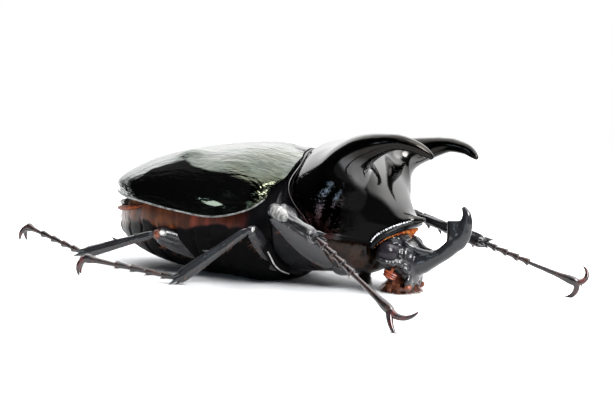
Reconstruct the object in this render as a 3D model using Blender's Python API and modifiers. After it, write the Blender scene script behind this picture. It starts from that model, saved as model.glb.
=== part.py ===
"""A male three-horned rhinoceros beetle, life size, standing still on its belly and feet.

Lengths are written in millimetres and turned into metres by MM. X runs from tail to head,
Y to the beetle's left and Z up, with the floor at Z = 0. Places are measured from the waist,
the point of the floor under the joint of the pronotum and the wing cases. The whole beetle
then hangs on one empty, WAIST_X ahead of the middle of the belly flat that it rests on.
"""

import math

import bmesh
import bpy
import numpy as np
from mathutils import Matrix, Vector

MM = 0.001
WAIST_X = 8.0  # the waist, ahead of the middle of the belly flat
GAP = 0.3  # left between pieces that touch
ROOT = 0.6  # how deep a spine or tooth is sunk in what it grows from

# Body, in millimetres
ELYTRON_LENGTH = 47.6
ELYTRON_HALF_WIDTH = 20.4
ELYTRON_TOP = 28.3
ELYTRON_THICKNESS = 0.9
BELLY_HALF_WIDTH = 17.8
WAIST_HEIGHT = 27.3
PRONOTUM_TOP = 30.2
PRONOTUM_HALF_WIDTH = 17.2
PRONOTUM_LIP = 2.0  # depth of the rolled front rim
HORN_SPREAD = 13.9  # of each long horn from the middle, where it is widest
HORN_TIP = (32.2, 11.8, 27.6)
HORN_LIFT = 0.5  # the right horn stands this much higher and the left one lower
HEAD_HORN_TIP = (34.2, 0.0, 18.3)
EYE_RADIUS = 2.4
EYE_PLACE = (21.1, 6.5, 8.5)
TARSUS_RADIUS = 0.62
SHOULDER = 3.6  # how far the shield swells forward where a long horn grows from it
SHOULDER_ANGLE = 40.0  # round the shield from its middle line
SHIELD_ROOF = 0.33  # how much more roof-like the shield's hind end is than its front
SHIELD_BASE_BOW = 1.2  # how far the shield's hind edge bends forward beside its middle
WING_ROOF = 0.35  # how much more roof-like the base of a wing case is than its middle
WING_BASE_BOW = 1.4  # how far the base of a wing case bends forward beside the seam
FACE_DENT = 1.5  # how far the shield's front is hollowed between the long horns

# Joints of each leg: hip, knee, ankle, end of the foot's four short joints, root of the claws
LEGS = {
    "front_right": ((11.6, -7.4, 5.0), (1.7, -18.7, 16.3), (19.2, -33.9, 13.7),
                    (28.2, -36.8, 8.6), (37.4, -39.7, 3.3)),
    "middle_right": ((-2.2, -10.5, 5.0), (-2.0, -21.2, 12.2), (-16.4, -24.2, 1.2),
                     (-28.9, -28.3, 3.1), (-35.0, -30.4, 4.1)),
    "hind_right": ((-15.5, -9.6, 4.6), (-25.5, -18.9, 8.9), (-44.0, -18.9, 2.9),
                   (-57.4, -16.1, 5.6), (-62.4, -15.0, 6.6)),
    "front_left": ((11.6, 7.4, 5.0), (11.0, 21.6, 14.4), (34.7, 12.0, 9.9),
                   (43.6, 14.4, 6.6), (53.3, 17.0, 3.2)),
    "middle_left": ((-2.2, 10.5, 5.0), (-2.0, 21.4, 12.0), (-13.4, 28.6, 1.2),
                    (-22.4, 37.6, 3.1), (-26.8, 42.0, 4.0)),
    "hind_left": ((-15.5, 9.6, 4.6), (-24.6, 19.6, 8.9), (-38.4, 31.6, 2.2),
                  (-46.0, 41.4, 3.6), (-48.8, 45.2, 4.2)),
}
# Radii of each pair's hip: along the thigh, across it and up
HIP_RADII = {"front": (2.9, 2.6, 2.6), "middle": (2.5, 2.3, 2.2), "hind": (2.9, 2.6, 2.6)}
# Half widths of each pair's thigh and shin: the thigh's middle, then the shin's two ends
LEG_SIZES = {
    "front": (3.2, 1.0, 1.4),
    "middle": (1.9, 0.9, 1.6),
    "hind": (2.4, 0.9, 1.5),
}


def vec(*place):
    return Vector(place)


def clear_scene():
    for obj in list(bpy.data.objects):
        bpy.data.objects.remove(obj, do_unlink=True)


def material(name, colour, roughness, metallic=0.0):
    made = bpy.data.materials.new(name)
    made.use_nodes = True
    shader = made.node_tree.nodes["Principled BSDF"]
    shader.inputs["Base Color"].default_value = (*colour, 1.0)
    shader.inputs["Roughness"].default_value = roughness
    shader.inputs["Metallic"].default_value = metallic
    return made


def smooth_path(points, count):
    """Places at even steps of a smooth curve through the points, which may hold any numbers."""
    knots = np.array(points, float)
    ends = np.vstack([2 * knots[0] - knots[1], knots, 2 * knots[-1] - knots[-2]])
    places = []
    for step in np.linspace(0, len(knots) - 1, count):
        k = min(int(step), len(knots) - 2)
        t = step - k
        a, b, c, d = ends[k : k + 4]
        places.append(0.5 * (2 * b + (c - a) * t + (2 * a - 5 * b + 4 * c - d) * t**2
                             + (3 * b - a - 3 * c + d) * t**3))
    return np.array(places)


def new_object(name, bm):
    """An object of this mesh, given in millimetres, with its faces turned out."""
    bmesh.ops.recalc_face_normals(bm, faces=bm.faces)
    if bm.calc_volume(signed=True) < 0:
        bmesh.ops.reverse_faces(bm, faces=bm.faces)
    bm.transform(Matrix.Scale(MM, 4))
    mesh = bpy.data.meshes.new(name)
    bm.to_mesh(mesh)
    bm.free()
    obj = bpy.data.objects.new(name, mesh)
    bpy.context.scene.collection.objects.link(obj)
    return obj


def loft(name, rings):
    """A closed solid through rings of as many points each, with a fan over each end."""
    bm = bmesh.new()
    rows = [[bm.verts.new(Vector(p)) for p in ring] for ring in rings]
    count = len(rows[0])
    for low, high in zip(rows, rows[1:]):
        for k in range(count):
            n = (k + 1) % count
            bm.faces.new((low[k], low[n], high[n], high[k]))
    for row in (rows[0], rows[-1]):
        middle = bm.verts.new(sum((v.co for v in row), Vector()) / count)
        for k in range(count):
            bm.faces.new((row[k], row[(k + 1) % count], middle))
    return new_object(name, bm)


def slab(name, upper, lower):
    """A closed solid between two grids of points, joined round their edges."""
    bm = bmesh.new()
    top = [[bm.verts.new(Vector(p)) for p in row] for row in upper]
    low = [[bm.verts.new(Vector(p)) for p in row] for row in lower]
    rows, cols = len(top), len(top[0])
    for grid in (top, low):
        for i in range(rows - 1):
            for j in range(cols - 1):
                bm.faces.new((grid[i][j], grid[i][j + 1], grid[i + 1][j + 1], grid[i + 1][j]))
    rim = [(0, j) for j in range(cols)] + [(i, cols - 1) for i in range(1, rows)]
    rim += [(rows - 1, j) for j in reversed(range(cols - 1))]
    rim += [(i, 0) for i in reversed(range(1, rows - 1))]
    for (i, j), (k, m) in zip(rim, rim[1:] + rim[:1]):
        bm.faces.new((top[i][j], top[k][m], low[k][m], low[i][j]))
    return new_object(name, bm)


def limb(name, places, half_widths, half_depths, sides=10, broad=(0, 0, 1)):
    """A tapering limb through the places, oval across, its width lying along broad."""
    path = [Vector(p) for p in places]
    rings = []
    for k, place in enumerate(path):
        along = (path[min(k + 1, len(path) - 1)] - path[max(k - 1, 0)]).normalized()
        depth = along.cross(Vector(broad)).normalized()
        width = depth.cross(along).normalized()
        rings.append([
            place
            + width * half_widths[k] * math.cos(2 * math.pi * s / sides)
            + depth * half_depths[k] * math.sin(2 * math.pi * s / sides)
            for s in range(sides)
        ])
    return loft(name, rings)


def tube(name, places, radii, bevel_resolution=1):
    """A round tapering rod: a curve with a bevel, made a mesh so that it can be fused."""
    curve = bpy.data.curves.new(name, "CURVE")
    curve.dimensions = "3D"
    curve.bevel_depth = MM
    curve.bevel_resolution = bevel_resolution
    curve.use_fill_caps = True
    spline = curve.splines.new("POLY")
    spline.points.add(len(places) - 1)
    for point, place, radius in zip(spline.points, places, radii):
        point.co = (*(Vector(place) * MM), 1.0)
        point.radius = radius
    guide = bpy.data.objects.new(name + "_guide", curve)
    bpy.context.scene.collection.objects.link(guide)
    graph = bpy.context.evaluated_depsgraph_get()
    bm = bmesh.new()
    bm.from_mesh(bpy.data.meshes.new_from_object(guide.evaluated_get(graph)))
    bpy.data.objects.remove(guide, do_unlink=True)
    bmesh.ops.remove_doubles(bm, verts=bm.verts, dist=1e-7)
    bm.transform(Matrix.Scale(1 / MM, 4))
    return new_object(name, bm)


def cone(name, root, tip, radius, sides=5):
    """A tooth or spine with its root sunk in what it grows from."""
    root, tip = Vector(root), Vector(tip)
    along = (tip - root).normalized()
    root = root - along * ROOT
    bm = bmesh.new()
    bmesh.ops.create_cone(bm, cap_ends=True, segments=sides, radius1=radius, radius2=0.06,
                          depth=(tip - root).length)
    turn = along.to_track_quat("Z", "Y").to_matrix().to_4x4()
    bm.transform(Matrix.Translation((root + tip) / 2) @ turn)
    return new_object(name, bm)


def ball(name, place, radii, turn=(0, 0, 0), segments=12):
    """A sphere stretched to three radii and turned by three angles in degrees."""
    bm = bmesh.new()
    bmesh.ops.create_uvsphere(bm, u_segments=segments, v_segments=segments // 2 + 1, radius=1)
    x, y, z = (math.radians(angle) for angle in turn)
    spin = Matrix.Rotation(z, 4, "Z") @ Matrix.Rotation(y, 4, "Y") @ Matrix.Rotation(x, 4, "X")
    bm.transform(Matrix.Translation(Vector(place)) @ spin @ Matrix.Diagonal((*radii, 1)))
    return new_object(name, bm)


def box(name, place, size, along=(1, 0, 0)):
    """A box whose first side lies along a direction."""
    bm = bmesh.new()
    bmesh.ops.create_cube(bm, size=1)
    turn = Vector(along).to_track_quat("X", "Z").to_matrix().to_4x4()
    bm.transform(Matrix.Translation(Vector(place)) @ turn @ Matrix.Diagonal((*size, 1)))
    return new_object(name, bm)


def baked(obj):
    """The object with its modifiers applied."""
    graph = bpy.context.evaluated_depsgraph_get()
    mesh = bpy.data.meshes.new_from_object(obj.evaluated_get(graph))
    obj.modifiers.clear()
    old = obj.data
    obj.data = mesh
    bpy.data.meshes.remove(old)
    return obj


def shell_of(face):
    """The faces of the closed surface that holds a face, reached over its plain edges."""
    found, queue = {face}, [face]
    while queue:
        for edge in queue.pop().edges:
            if len(edge.link_faces) == 2:
                for other in edge.link_faces:
                    if other not in found:
                        found.add(other)
                        queue.append(other)
    return found


def keep_shell(obj, choose):
    """Keeps only the closed surface that choose scores highest of all."""
    bm = bmesh.new()
    bm.from_mesh(obj.data)
    bmesh.ops.remove_doubles(bm, verts=bm.verts, dist=2e-7)
    bmesh.ops.dissolve_degenerate(bm, edges=bm.edges, dist=2e-7)
    left, shells = set(bm.faces), []
    while left:
        shell = shell_of(next(iter(left)))
        left -= shell
        shells.append(shell)
    best = max(shells, key=choose)
    bmesh.ops.delete(bm, geom=[f for f in bm.faces if f not in best], context="FACES")
    bmesh.ops.triangulate(bm, faces=bm.faces)
    bm.to_mesh(obj.data)
    bm.free()
    return obj


def keep_largest(obj):
    return keep_shell(obj, lambda shell: sum(face.calc_area() for face in shell))


def is_closed(mesh):
    bm = bmesh.new()
    bm.from_mesh(mesh)
    whole = all(len(edge.link_faces) == 2 for edge in bm.edges)
    bm.free()
    return whole and len(mesh.polygons) > 0


def combined(obj, others, operation):
    """The object joined with, or cut by, the others, which are then removed."""
    tools = bpy.data.collections.new("tools")
    bpy.context.scene.collection.children.link(tools)
    for other in others:
        bpy.context.scene.collection.objects.unlink(other)
        tools.objects.link(other)
        other.hide_render = True
        other.display_type = "WIRE"
    before = obj.data.copy()
    for solver in ("EXACT", "MANIFOLD"):
        change = obj.modifiers.new(operation.lower(), "BOOLEAN")
        change.operation = operation
        change.solver = solver
        change.operand_type = "COLLECTION"
        change.collection = tools
        baked(obj)
        if is_closed(obj.data):
            break
        if solver == "EXACT":
            obj.data = before.copy()
    for other in others:
        bpy.data.objects.remove(other, do_unlink=True)
    bpy.data.collections.remove(tools)
    return obj


def fuse(name, pieces):
    """One closed body made of overlapping pieces."""
    body = pieces[0]
    body.name = name
    if len(pieces) > 1:
        combined(body, pieces[1:], "UNION")
    return keep_largest(body)


def swollen(obj, by=GAP):
    """A copy grown outwards all round, to cut a neighbour clear of the object."""
    bm = bmesh.new()
    bm.from_mesh(obj.data)
    bm.normal_update()
    for vert in bm.verts:
        vert.co += vert.normal * by * MM * 1.05
    bm.transform(Matrix.Scale(1 / MM, 4))
    return new_object(obj.name + "_swollen", bm)


def cleared(obj, *neighbours, by=GAP):
    """The object cut back to leave the gap to its neighbours."""
    combined(obj, [swollen(other, by) for other in neighbours], "DIFFERENCE")
    return keep_largest(obj)


def copy_of(obj, name):
    made = bpy.data.objects.new(name, obj.data.copy())
    bpy.context.scene.collection.objects.link(made)
    return made


def dome(top, margin, angle, fullness, sweep=2.0):
    """A point of the arch from the middle line, at 0 degrees, down to the margin, at 90."""
    a = math.radians(abs(angle))
    across = math.sin(a) ** fullness
    up = math.cos(a) ** fullness if abs(angle) < 90 else 0.0
    side = 1 if angle > 0 else -1
    return vec(
        top[0] + (margin[0] - top[0]) * math.sin(a) ** sweep,
        side * max(abs(margin[1]) * across, top[1]),
        margin[2] + (top[2] - margin[2]) * up,
    )


def elytron_lines(rows, inset=0.0):
    """The middle line and the margin of a wing case from its base to its tip."""
    length, wide, top = ELYTRON_LENGTH, ELYTRON_HALF_WIDTH, ELYTRON_TOP
    middle = smooth_path([
        (-0.2, WAIST_HEIGHT), (-0.15 * length, top), (-0.32 * length, top - 0.4),
        (-0.52 * length, top - 1.8), (-0.72 * length, top - 4.2), (-0.88 * length, top - 7.4),
        (-0.97 * length, top - 10.2), (-length, top - 12.2),
    ], rows)
    margin = smooth_path([
        (-1.0, wide - 3.4, 18.2), (-4.2, wide - 0.8, 15.6), (-0.24 * length, wide, 13.8),
        (-0.44 * length, wide - 0.5, 14.3), (-0.62 * length, wide - 2.8, 15.0),
        (-0.79 * length, wide - 7.2, 15.3), (-0.90 * length, wide - 11.8, 15.8),
        (-0.975 * length, wide - 17.4, 16.1),
    ], rows)
    lines = []
    for (x, z), (mx, my, mz) in zip(middle, margin):
        lines.append(((x, GAP / 2, z - inset), (mx, my - inset, mz)))
    return lines


def make_elytron(name, side):
    """A wing case: a curved sheet with the real thickness of its edge."""
    angles = [90 * k / 8 for k in range(9)]
    bm = bmesh.new()
    rows = []
    for i, (top, margin) in enumerate(elytron_lines(15)):
        along = i / 14
        fullness = 0.86 + WING_ROOF * (1 - smooth_step(along / 0.25))
        row = []
        for angle in angles:
            point = dome(top, margin, max(angle, 0.01), fullness)
            bow = smooth_step((angle - 12) / 18) * (1 - smooth_step((angle - 55) / 20))
            point.x += WING_BASE_BOW * bow * (1 - smooth_step(along / 0.15))
            row.append(point)
        rows.append([bm.verts.new((p.x, side * p.y, p.z)) for p in row])
    for i in range(len(rows) - 1):
        for j in range(len(angles) - 1):
            face = (rows[i][j], rows[i][j + 1], rows[i + 1][j + 1], rows[i + 1][j])
            bm.faces.new(face if side > 0 else face[::-1])
    bm.transform(Matrix.Scale(MM, 4))
    mesh = bpy.data.meshes.new(name)
    bm.to_mesh(mesh)
    bm.free()
    obj = bpy.data.objects.new(name, mesh)
    bpy.context.scene.collection.objects.link(obj)
    shell = obj.modifiers.new("shell", "SOLIDIFY")
    shell.thickness = ELYTRON_THICKNESS * MM
    shell.offset = -1.0
    baked(obj)
    bm = bmesh.new()
    bm.from_mesh(obj.data)
    for vert in bm.verts:
        vert.co.y = side * max(side * vert.co.y, GAP / 2 * MM)
    bm.transform(Matrix.Scale(1 / MM, 4))
    bpy.data.objects.remove(obj, do_unlink=True)
    return new_object(name, bm)


def trunk_ring(x, half_width, waist_z, top, bottom, points=20, flat=1.05):
    """A ring of the body: a dome above its widest line and a flatter belly below it."""
    ring = []
    for k in range(points):
        a = 2 * math.pi * k / points
        across, up = math.cos(a), math.sin(a)
        y = half_width * math.copysign(abs(across) ** (1.0 if up > 0 else flat), across)
        reach = (top - waist_z) if up > 0 else (waist_z - bottom)
        z = waist_z + reach * math.copysign(abs(up) ** 0.9, up)
        ring.append((x, y, max(z, 0.0)))
    return ring


def make_abdomen():
    """The hind body, with the steps between its belly plates."""
    wide = BELLY_HALF_WIDTH
    lines = smooth_path([
        (-13.4, wide, 12.5, 25.2, -0.6), (-22.0, wide - 0.2, 12.3, 25.0, -0.5),
        (-29.0, wide - 1.6, 12.1, 23.4, 0.2), (-35.0, wide - 4.6, 11.9, 21.6, 1.2),
        (-39.5, wide - 7.4, 11.6, 19.2, 2.6), (-42.8, wide - 10.2, 11.2, 16.4, 4.6),
    ], 13)
    rings = []
    for k, (x, half, waist_z, top, bottom) in enumerate(lines):
        step = 0.35 if k % 2 else 0.0
        rings.append(trunk_ring(x, half - step, waist_z, top, bottom + step))
    return loft("abdomen", rings)


def make_pygidium():
    """The tail plate that closes the hind body under the tips of the wing cases."""
    rings = [
        trunk_ring(-42.8 - GAP, 7.4, 11.2, 15.6, 4.8),
        trunk_ring(-44.6, 5.6, 10.9, 14.4, 5.6),
        trunk_ring(-46.2, 2.6, 10.7, 12.6, 7.4),
    ]
    flange = ball("flange", (-43.0, 0, 12.3), (3.6, 8.2, 0.55), segments=16)
    return fuse("pygidium", [loft("tail", rings), flange])


def make_metathorax():
    """The hind chest, whose flat breast plate rests on the floor."""
    wide = BELLY_HALF_WIDTH
    rings = [
        trunk_ring(-13.4 + GAP, wide, 12.5, 25.2, -1.1),
        trunk_ring(-10.0, wide - 0.1, 12.5, 25.6, -1.3),
        trunk_ring(-5.0, wide - 0.7, 12.4, 25.4, -1.3),
        trunk_ring(-0.6, wide - 2.6, 12.2, 24.8, 1.0),
    ]
    return loft("metathorax", rings)


def make_mesothorax():
    """The middle chest, in the wedge behind the pronotum."""
    rings = [
        trunk_ring(-0.6 + GAP, 14.6, 12.6, 24.6, 1.8),
        trunk_ring(2.6, 12.4, 12.4, 24.0, 2.2),
        trunk_ring(6.0, 10.6, 11.6, 22.0, 2.6),
    ]
    return loft("mesothorax", rings)


def make_prosternum():
    """The underside of the front chest, narrowing to the neck, with its central spur."""
    chest = loft("chest", [
        trunk_ring(6.0 + GAP, 11.6, 11.4, 15.0, 2.6),
        trunk_ring(11.0, 13.4, 10.6, 14.0, 2.8),
        trunk_ring(15.0, 12.0, 10.0, 14.0, 3.0),
        trunk_ring(17.4, 8.8, 9.4, 13.4, 4.2),
    ])
    spur = cone("spur", (17.0, 0.0, 4.6), (18.2, 0.0, 0.9), 1.1, sides=7)
    return fuse("prosternum", [chest, spur])


def pronotum_lines(rows):
    """The middle line and side margin of the pronotum, from its hind edge to its front rim."""
    wide, top = PRONOTUM_HALF_WIDTH, PRONOTUM_TOP
    middle = smooth_path([
        (GAP, WAIST_HEIGHT), (3.4, top - 1.1), (7.6, top), (11.4, top - 0.4),
        (15.2, top - 2.8), (18.7, top - 6.9), (21.0, top - 11.0), (22.7, top - 14.0),
        (23.9, 15.2),
    ], rows)
    margin = smooth_path([
        (9.2, wide - 0.3, 12.6), (10.6, wide, 12.2), (12.2, wide - 0.2, 12.0),
        (13.8, wide - 1.0, 11.8), (15.4, wide - 2.2, 11.6), (16.8, wide - 3.8, 11.3),
        (17.9, wide - 5.4, 11.0), (18.6, wide - 6.7, 10.7), (18.9, wide - 7.8, 10.3),
    ], rows)
    return middle, margin


def make_pronotum_with_horns():
    """The front shield with its three horns, whole, before the horns are parted from it."""
    rows = 13
    angles = [-90 + 180 * k / 16 for k in range(17)]
    middle, margin = pronotum_lines(rows)
    upper, lower = [], []
    for i, ((x, z), (mx, my, mz)) in enumerate(zip(middle, margin)):
        ahead = i / (rows - 1)
        arch = smooth_step((ahead - 0.72) / 0.28)
        sweep = 9.0 - 7.0 * smooth_step(ahead / 0.6)
        fullness = 0.92 + SHIELD_ROOF * (1 - smooth_step(ahead / 0.45))
        top_row, low_row = [], []
        for angle in angles:
            point = dome((x, 0.0, z), (mx, my, mz), angle, fullness, sweep)
            bow = math.exp(-(((abs(angle) - 33) / 15) ** 2)) * (1 - smooth_step(ahead / 0.3))
            point.x += SHIELD_BASE_BOW * bow
            swell = math.exp(-(((abs(angle) - SHOULDER_ANGLE) / 15) ** 2))
            swell *= SHOULDER * math.exp(-(((ahead - 0.45) / 0.13) ** 2))
            point += vec(0.8, math.copysign(0.1, angle), 0.45) * swell
            dent = math.exp(-((angle / 24) ** 2)) * math.exp(-(((ahead - 0.64) / 0.15) ** 2))
            point -= vec(0.85, 0.0, 0.5) * FACE_DENT * dent
            edge = vec(mx, point.y, mz)
            under = edge.lerp(point, arch) - vec(0.3 * arch, 0, 0.6 + (PRONOTUM_LIP - 0.6) * arch)
            top_row.append(point)
            low_row.append(under)
        upper.append(top_row)
        lower.append(low_row)
    pieces = [slab("shield", upper, lower)]
    for side in (-1, 1):
        pieces.append(make_long_horn(side))
    pieces.append(limb(
        "short_horn", [(21.6, 0, 15.0), (23.6, 0, 14.7), (25.0, 0, 14.7), (26.2, 0, 14.9)],
        [2.2, 1.7, 1.0, 0.4], [1.5, 1.1, 0.8, 0.35], sides=8, broad=(0, 1, 0),
    ))
    return fuse("shield_whole", pieces)


def smooth_step(t):
    t = min(max(t, 0.0), 1.0)
    return t * t * (3 - 2 * t)


def make_long_horn(side):
    """A long forward horn that spreads, then bows in and down to its tip."""
    spread = HORN_SPREAD
    tip_x, tip_y, tip_z = HORN_TIP
    lift = -side * HORN_LIFT
    stations = smooth_path([
        (9.0, 8.2, 21.0, 4.6, 4.4), (13.0, 10.4, 25.0, 4.0, 3.8),
        (17.2, spread - 1.5, 27.8, 3.0, 3.0), (21.2, spread - 0.2, 29.4, 2.3, 2.4),
        (25.2, spread, 30.3, 1.5, 1.9), (28.6, spread - 0.8, 29.7, 1.2, 1.4),
        (30.8, tip_y + 0.5, 28.6, 0.85, 0.9), (tip_x, tip_y, tip_z, 0.3, 0.3),
    ], 13)
    places = [(x, side * y, z + lift * smooth_step((x - 10) / 10)) for x, y, z, _, _ in stations]
    return limb("long_horn", places, [s[3] for s in stations], [s[4] for s in stations],
                sides=10)


def part_with_cuts(whole, cuts, names):
    """Cuts thin slots through the whole and names the bodies by where their middles lie."""
    slots = [box("slot", place, (GAP, *size), along) for place, size, along in cuts]
    combined(whole, slots, "DIFFERENCE")
    source = whole
    made = []
    for name, near in names.items():
        made.append(body_near(source, name, near))
    bpy.data.objects.remove(whole, do_unlink=True)
    return made


def body_near(source, name, near):
    """A copy of the one closed surface of the source that comes nearest a place."""
    target = Vector(near) * MM

    def nearness(shell):
        return -min((v.co - target).length for face in shell for v in face.verts)

    return keep_shell(copy_of(source, name), nearness)


def make_shield():
    """The pronotum and its three horns as four nodes."""
    whole = make_pronotum_with_horns()
    cuts = [
        ((19.4, side * 13.2, 29.6 - side * HORN_LIFT), (8.0, 8.4), (0.93, side * 0.12, 0.36))
        for side in (-1, 1)
    ]
    cuts.append(((24.1, 0, 14.7), (5.0, 4.0), (1, 0, 0)))
    return part_with_cuts(whole, cuts, {
        "pronotum": (7.0, 0, 30.0),
        "thoracic_horn_right": (HORN_TIP[0], -HORN_TIP[1], HORN_TIP[2]),
        "thoracic_horn_left": HORN_TIP,
        "thoracic_horn_middle": (26.2, 0, 14.9),
    })


def make_scutellum():
    """The small shield between the bases of the wing cases."""
    outline = [(0.0, 3.2), (-1.6, 3.0), (-3.6, 1.7), (-5.0, 0.5)]
    upper, lower = [], []
    for k, (x, half) in enumerate(outline):
        z = WAIST_HEIGHT + 0.3 + 0.14 * k
        upper.append([(x, half * t, z - 0.35 * t * t) for t in (-1, -0.5, 0, 0.5, 1)])
        lower.append([(x, half * t, z - 0.95 - 0.35 * t * t) for t in (-1, -0.5, 0, 0.5, 1)])
    return slab("scutellum", upper, lower)


def make_head_with_horn():
    """The bent-down head with its up-curved horn, whole, before the horn is parted from it."""
    skull = limb(
        "skull",
        [(18.6, 0, 7.4), (20.3, 0, 7.4), (22.2, 0, 6.6), (23.5, 0, 4.8), (24.2, 0, 2.8),
         (24.3, 0, 1.2)],
        [3.5, 3.9, 3.8, 2.6, 1.5, 0.6], [6.0, 6.6, 5.6, 4.4, 3.6, 2.8], sides=14,
        broad=(0.3, 0, 1),
    )
    tip = HEAD_HORN_TIP
    stations = smooth_path([
        (22.6, 5.6, 3.4, 3.2), (26.0, 6.4, 2.6, 2.4), (28.3, 7.3, 2.0, 1.7),
        (30.3, 8.4, 1.7, 1.45), (32.0, 9.9, 1.6, 1.5), (33.4, 11.5, 1.5, 1.85),
        (34.2, 13.2, 1.3, 2.0), (34.9, 14.9, 1.1, 1.45), (35.0, 16.6, 0.8, 0.95),
        (tip[0], tip[2], 0.3, 0.3),
    ], 16)
    horn = limb("horn", [(x, 0, z) for x, z, _, _ in stations], [s[2] for s in stations],
                [s[3] for s in stations], sides=10, broad=(0, 1, 0))
    tooth = cone("tooth", (33.4, 0, 12.9), (30.9, 0, 14.7), 1.6, sides=8)
    return fuse("head_whole", [skull, horn, tooth])


def make_head():
    whole = make_head_with_horn()
    return part_with_cuts(whole, [((26.6, 0, 6.6), (9.0, 9.0), (0.97, 0, 0.25))], {
        "head": (18.6, 0, 7.4),
        "head_horn": HEAD_HORN_TIP,
    })


def make_eye(name, side):
    x, y, z = EYE_PLACE
    return ball(name, (x, side * y, z), (EYE_RADIUS,) * 3, segments=14)


def make_antenna(name, side):
    """An elbowed feeler that ends in a club of three leaves."""
    pieces = [tube("stalk", [(22.4, side * 5.6, 5.9), (22.7, side * 7.4, 5.6),
                             (23.2, side * 8.4, 5.0)], [0.55, 0.45, 0.45])]
    for k in range(3):
        place = (23.5 - 0.35 * k, side * (8.7 + 0.1 * k), 4.9 - 0.55 * k)
        pieces.append(ball("leaf", place, (1.9, 0.9, 0.42), turn=(0, 15, 0), segments=8))
    return fuse(name, pieces)


def make_mouthparts():
    """Jaws, lip and palps under the head."""
    pieces = [ball("lip", (21.4, 0, 2.0), (2.6, 3.0, 1.4), turn=(0, 30, 0), segments=10)]
    for side in (-1, 1):
        pieces.append(ball("jaw", (22.4, side * 2.2, 1.1), (1.8, 1.1, 0.9), turn=(0, 25, 0),
                           segments=8))
        pieces.append(tube("palp", [(21.0, side * 2.2, 1.6), (22.4, side * 3.9, 1.1),
                                    (24.0, side * 3.8, 1.1), (25.3, side * 3.2, 1.7)],
                           [0.55, 0.45, 0.5, 0.62]))
        pieces.append(tube("short_palp", [(20.2, side * 1.6, 1.5), (20.3, side * 3.0, 0.9),
                                          (21.0, side * 4.2, 0.8)], [0.5, 0.42, 0.45]))
    return fuse("mouthparts", pieces)


def claw_path(root, ahead, curl, length, bend, steps=6):
    """Places along a hook that starts ahead and turns towards curl by bend degrees."""
    ahead = Vector(ahead).normalized()
    curl = (Vector(curl) - Vector(curl).dot(ahead) * ahead).normalized()
    place, places = Vector(root), [Vector(root)]
    for k in range(steps):
        a = math.radians(bend) * (k + 0.5) / steps
        place = place + (ahead * math.cos(a) + curl * math.sin(a)) * length / steps
        places.append(place)
    return places


CLAWS = {
    # Each hook's direction at its root, the direction that it curls to, its length and its bend
    "front_right": (((0.8, -0.3, -0.7), (0.8, 0.1, 0.8), 6.4, 95),
                    ((0.1, -0.5, -0.9), (0.9, 0.2, -0.4), 5.4, 50)),
    "middle_right": (((-0.8, -0.5, -0.3), (0.5, 0.2, -1), 4.4, 105),
                     ((-0.9, 0.1, -0.3), (0.5, 0, -1), 4.2, 95)),
    "hind_right": (((-1, 0.3, -0.2), (0.5, 0.1, -1), 4.2, 105),
                   ((-0.9, -0.4, -0.2), (0.6, 0.1, -1), 4.0, 95)),
    "front_left": (((0.9, 0.3, -0.2), (-0.5, 0.1, 0.9), 5.2, 165),
                   ((0.3, 0.2, -0.9), (-1, 0, -0.1), 5.8, 120)),
    "middle_left": (((-0.4, 0.9, -0.2), (0.4, -0.2, -1), 4.4, 105),
                    ((-0.9, 0.4, -0.2), (0.4, -0.2, -1), 4.2, 95)),
    "hind_left": (((-0.3, 0.9, -0.2), (0.3, -0.3, -1), 4.2, 105),
                  ((-0.9, 0.5, -0.2), (0.4, -0.2, -1), 4.0, 95)),
}


def foot_stations(ankle, bend, claw_root):
    """Centres and radii along a foot of four short knotty joints and one long one."""
    ankle, bend, claw_root = Vector(ankle), Vector(bend), Vector(claw_root)
    places, radii = [], []
    for k in range(4):
        for t, radius in ((0.06, 0.62), (0.72, 1.0), (0.96, 1.35)):
            places.append(ankle.lerp(bend, (k + t) / 4))
            radii.append(TARSUS_RADIUS * radius)
    for t, radius in ((0.06, 0.7), (0.45, 0.95), (0.82, 1.5), (1.0, 1.2)):
        places.append(bend.lerp(claw_root, t))
        radii.append(TARSUS_RADIUS * radius)
    return places, radii


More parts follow.
